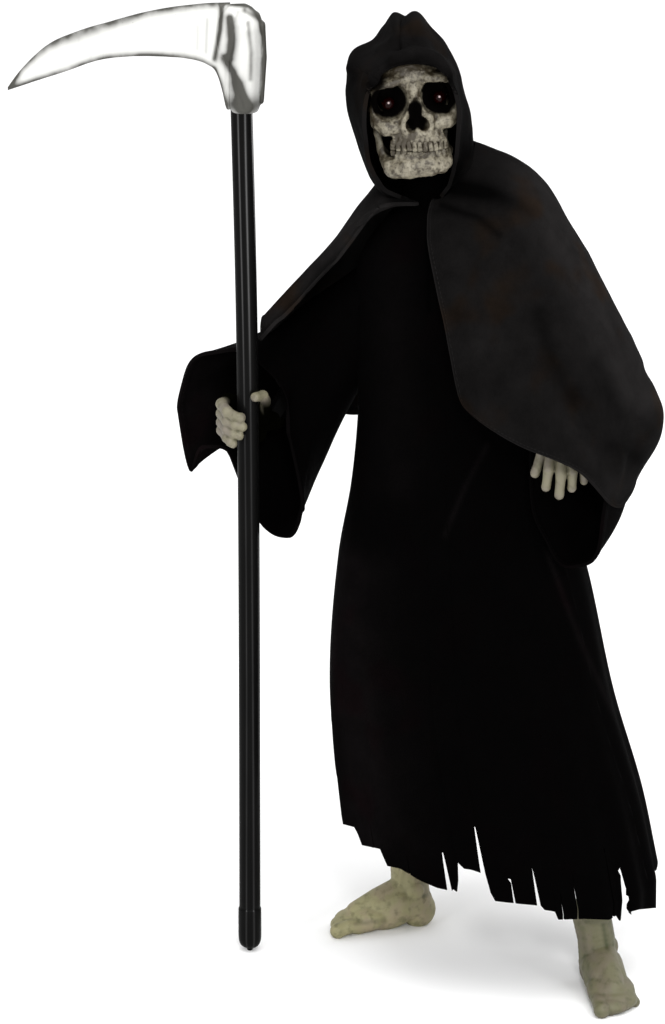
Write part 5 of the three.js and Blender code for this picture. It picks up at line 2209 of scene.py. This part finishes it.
    def drape(self, piece: Piece) -> None:
        """Presses creases into the front of the cape and hangs soft folds behind it.

        Args:
            piece: The cape's sheet.
        """
        places = BENCH.points(piece)
        normals = BENCH.normals(piece)
        front = smooth_step(16, 6, places[:, 1])
        lift = wander(places, 26.0, 2.0, 3) * 0.7 - 1.0 + 1.6 * smooth_step(34, 52, places[:, 0])
        lift += front * marked(SIGHT.seen(places), self.creases)
        turn = np.arctan2(places[:, 1] - self.neck[1], places[:, 0] - self.neck[0])
        fall = smooth_step(240, 160, places[:, 2])
        lift += 1.5 * fall * (1 - front) * (np.cos(turn * 13) + 0.5 * np.cos(turn * 7 + 1))
        outward = np.sign(np.einsum("ij,ij->i", normals, places - np.array(self.middle)))
        BENCH.place(piece, places + normals * (outward * lift)[:, None])

    def build(self, cloth: Material) -> None:
        """Models and dresses the cape.

        Args:
            cloth: Its material.
        """
        piece = self.sheet()
        area = sew(piece, cloth, "cape_cloth", (0.300, 0.085), self.fade_and_painted_light, self.marks, self.cloth, fronts=True)
        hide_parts("hooded_cape")


@dataclass
class Hood:
    """The hood: two panels sewn along the crown, drawn up to a point with two bumps."""

    cloth: float = 0.9
    fade_and_painted_light: float = 0.42
    gather: float = 0.01
    # Arches from the throat up over the crown and down to the throat again: the face edge, the
    # widest part at the cheeks, and behind the ears.
    face: tuple[Triple, ...] = (
        (22, -3.6, 242), (16.4, -6.6, 245.4), (13, -12.6, 250.6), (10.6, -17.4, 257.6), (9.3, -19.5, 269),
        (10, -19.4, 278), (11.8, -18.8, 282.4), (14.8, -18, 285.2), (18.6, -17.4, 286.6), (22, -17.2, 287),
        (24.6, -17.2, 287), (27.4, -17.4, 286.8), (31, -17.8, 285.6), (34, -18.4, 282.6), (36.1, -19, 277.6),
        (37.1, -18.6, 269.6), (36.8, -16.4, 260.5), (35.6, -11.6, 252.6), (34.2, -6.6, 247), (32, -3.6, 243),
    )
    cheeks: tuple[Triple, ...] = (
        (18, -1.6, 242), (14.5, -2, 244.6), (11.2, -2, 249.2), (8.6, -1, 256), (5.6, -1, 267),
        (4.6, -2, 276.6), (4.8, -4, 284), (11.4, -1, 286.8), (15.2, -0.5, 291.2), (18, 0, 296.6),
        (21.3, 0, 295.5), (24.8, 0, 296.8), (28.6, -0.5, 291.6), (32.8, -1, 286), (36.6, -1, 279.4),
        (39.5, -1, 269.6), (40.8, -1, 258.8), (41.2, -1, 252.6), (39.4, -1, 248.4), (36, -1.6, 245.4),
    )
    ears: tuple[Triple, ...] = (
        (15, 5, 244.6), (13, 6, 247.2), (11, 7, 251.5), (8.6, 8, 258), (6.2, 8, 267.5), (5.4, 8, 277),
        (7.6, 8, 284.4), (12.4, 8, 287.6), (15, 8, 291.4), (18.6, 8, 294.6), (21.8, 8, 294), (25, 8, 294.6),
        (29.2, 8, 291), (33.2, 8, 286.4), (36.6, 8, 279.6), (38.8, 8, 270), (40.6, 7, 259.5), (41.4, 7, 254),
        (41, 6, 250), (40, 5, 247),
    )
    # The back seam from its foot to the crown.
    seam: tuple[Triple, ...] = (
        (28, 19.4, 247.4), (27.4, 20.2, 254), (26.4, 21.6, 262), (25, 22.2, 270), (23.8, 21.2, 278),
        (22.9, 18.4, 285), (22.2, 14.6, 290.4),
    )
    # Creases, as marks in millimetres, below 0 for a hollow.
    creases: tuple[Mark, ...] = (
        (((21.6, 149), (20.2, 144.5), (19.4, 139.6)), 0.9, -1.5),
        (((24.8, 147), (24.2, 142)), 1.8, 0.6),
        (((19.4, 139), (24, 141), (30, 139.6), (34, 137)), 1.1, -1),
        (((18.4, 136.2), (25, 138), (31.5, 136.2), (35.4, 131.5)), 1.3, 0.9),
        (((20, 143), (17, 140), (14, 138.6)), 1.2, 0.7),
        (((10.6, 131), (7.4, 134), (6.2, 130.5)), 2.4, -2.4),
        (((3.4, 133), (5, 120), (6.6, 108)), 1.4, 0.5),
    )
    # Painted light and painted shade, in the view: lighter where the cloth is lit, darker where it is shaded.
    marks: tuple[Mark, ...] = (
        (((21, 147), (26, 147.5)), 2.5, 0.25),
        (((5, 131), (7, 108)), 3.6, -0.36),
        (((38, 130), (40.5, 108)), 3, -0.3),
        (((12, 128), (11.5, 108)), 2.2, -0.3),
        (((17, 135), (28, 136.4), (35, 130)), 1.6, -0.22),
        (((40, 112), (37, 100)), 2.5, -0.2),
        (((12.5, 108), (16.5, 99), (25, 93)), 2.6, -0.4),
        (((37, 104), (34, 97), (30, 92)), 2, -0.3),
    )
    places: tuple[float, ...] = (0.0, 0.09, 0.36, 0.6, 0.82, 1.0)
    middle: Triple = (24.0, 2.0, 268.0)
    brow_roll: Triple = (0.0, -4.4, 2.0)
    columns: int = 200
    rows: int = 120

    def arches(self) -> list[Array]:
        """Finds the arches that the hood passes through.

        Returns:
            The points of each arch, from the face to the back seam.
        """
        face, cheeks, ears = (np.array(arch) for arch in (self.face, self.cheeks, self.ears))
        high = smooth_step(279, 286, face[:, 2])[:, None]
        brow = face + (cheeks - face) * 0.14 + high * np.array(self.brow_roll)
        climb = 1 - np.abs(np.linspace(-1, 1, len(face)))
        back = spline(self.seam, climb)
        rear = ears + (back - ears) * np.array((0.3, 0.68, 0.5))
        return [face, brow, cheeks, ears, rear, back]

    def sheet(self) -> Piece:
        """Makes the hood's sheet from the face edge at v = 0 to the back seam at v = 1.

        Returns:
            The sheet.
        """
        arches = self.arches()

        def shape(u: Array, v: Array) -> Array:
            """Blends the arches from the face to the back.

            Args:
                u: Places across the sheet, from 0 to 1.
                v: Places up the sheet, from 0 to 1.

            Returns:
                Points in millimetres.
            """
            levels = np.stack([spline(arch, u) for arch in arches], axis=1)
            return through(levels, np.interp(v, self.places, range(len(arches))))

        piece = BENCH.grid("hood_sheet", self.columns, self.rows, shape)
        self.crease(piece)
        return piece

    def crease(self, piece: Piece) -> None:
        """Presses the seam, the corner and the brow's folds into the hood.

        Args:
            piece: The hood's sheet.
        """
        places = BENCH.points(piece)
        normals = BENCH.normals(piece)
        near = smooth_step(6, -4, places[:, 1])
        depth = near * marked(SIGHT.seen(places), self.creases) + wander(places, 14.0, 5.0, 3) * 0.5
        outward = np.sign(np.einsum("ij,ij->i", normals, places - np.array(self.middle)))
        BENCH.place(piece, places + normals * (outward * depth)[:, None])

    def build(self, cloth: Material) -> None:
        """Models and dresses the hood.

        Args:
            cloth: Its material.
        """
        piece = self.sheet()
        width, length = 0.135, 0.056
        area = sew(piece, cloth, "cape_cloth", (width, length), self.fade_and_painted_light, self.marks, self.cloth,
                   gather=self.gather)


# The studio


@dataclass
class Studio:
    """The floor, the lights and the camera of the photograph."""

    lens: float = 234.14
    floor_size: float = 14.0
    key: float = 15.0
    glow: float = 0.9

    def floor(self) -> None:
        """Lays the pale floor."""
        BENCH.clear()
        bpy.ops.mesh.primitive_plane_add(size=self.floor_size)
        piece = bpy.context.object
        piece.name = "floor"
        piece.data.materials.append(StudioFloor().make())

    def light(self, name: str, azimuth: float, elevation: float, reach: float, size: Pair,
              power: float) -> None:
        """Hangs one soft light that faces the figure.

        Args:
            name: The light's name.
            azimuth: Its direction from the camera's own, in degrees to the right.
            elevation: Its height in degrees.
            reach: Its distance in metres.
            size: Its width and height in metres.
            power: Its power in watts.
        """
        data = bpy.data.lights.new(name, "AREA")
        data.shape = "RECTANGLE"
        data.size, data.size_y = size
        data.energy = power
        lamp = bpy.data.objects.new(name, data)
        bpy.context.collection.objects.link(lamp)
        turn, rise = math.radians(azimuth), math.radians(elevation)
        target = Vector((0, 0, 0.15))
        away = Vector((math.sin(turn) * math.cos(rise), -math.cos(turn) * math.cos(rise), math.sin(rise)))
        lamp.location = target + away * reach
        lamp.rotation_euler = away.to_track_quat("Z", "Y").to_euler()

    def build(self) -> None:
        """Sets up floor, lights, world and camera."""
        self.floor()
        self.light("left_strip", -36, 20, 1.7, (0.22, 1.5), self.key * 0.4)
        self.light("right_strip", 42, 24, 1.7, (0.3, 1.5), self.key * 0.5)
        self.light("overhead", 20, 68, 1.8, (1.6, 1.2), self.key * 1.2)
        self.light("far_rim", 120, 30, 2.0, (0.6, 1.4), self.key * 0.5)
        self.light("catch_light", 5, 27, 1.9, (0.24, 0.24), self.key * 0.9)
        world = bpy.data.worlds.new("studio")
        world.use_nodes = True
        background = world.node_tree.nodes["Background"]
        background.inputs["Color"].default_value = (1.0, 1.0, 1.0, 1.0)
        background.inputs["Strength"].default_value = self.glow
        bpy.context.scene.world = world
        data = bpy.data.cameras.new("camera")
        data.lens = self.lens
        data.sensor_width = 36.0
        data.clip_end = 100.0
        camera = bpy.data.objects.new("camera", data)
        bpy.context.collection.objects.link(camera)
        tilt = math.radians(SIGHT.elevation)
        target = Figure().frame() @ Vector(SIGHT.target)
        away = Vector((0, -math.cos(tilt), math.sin(tilt)))
        camera.location = target + away * SIGHT.distance * MM
        camera.rotation_euler = away.to_track_quat("Z", "Y").to_euler()
        bpy.context.scene.camera = camera
        bpy.context.scene.view_settings.view_transform = "Standard"


def main() -> None:
    """Builds the figure in order."""
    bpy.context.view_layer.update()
    Studio().build()
    Scythe().build()
    Head().build()
    Hands().build()
    Feet().build()
    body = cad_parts["body"]
    body.data.materials.clear()
    body.data.materials.append(DollPlastic().make())
    Robe().build()
    cape_cloth = SewnCloth(
        "cape_cotton", dark=0.0006, worn=0.0165, tint=(1.06, 0.98, 0.97), rust=(0.021, 0.0145, 0.0105),
    ).make()
    Cape().build(cape_cloth)
    Hood().build(cape_cloth)


if __name__ == "__main__":
    main()
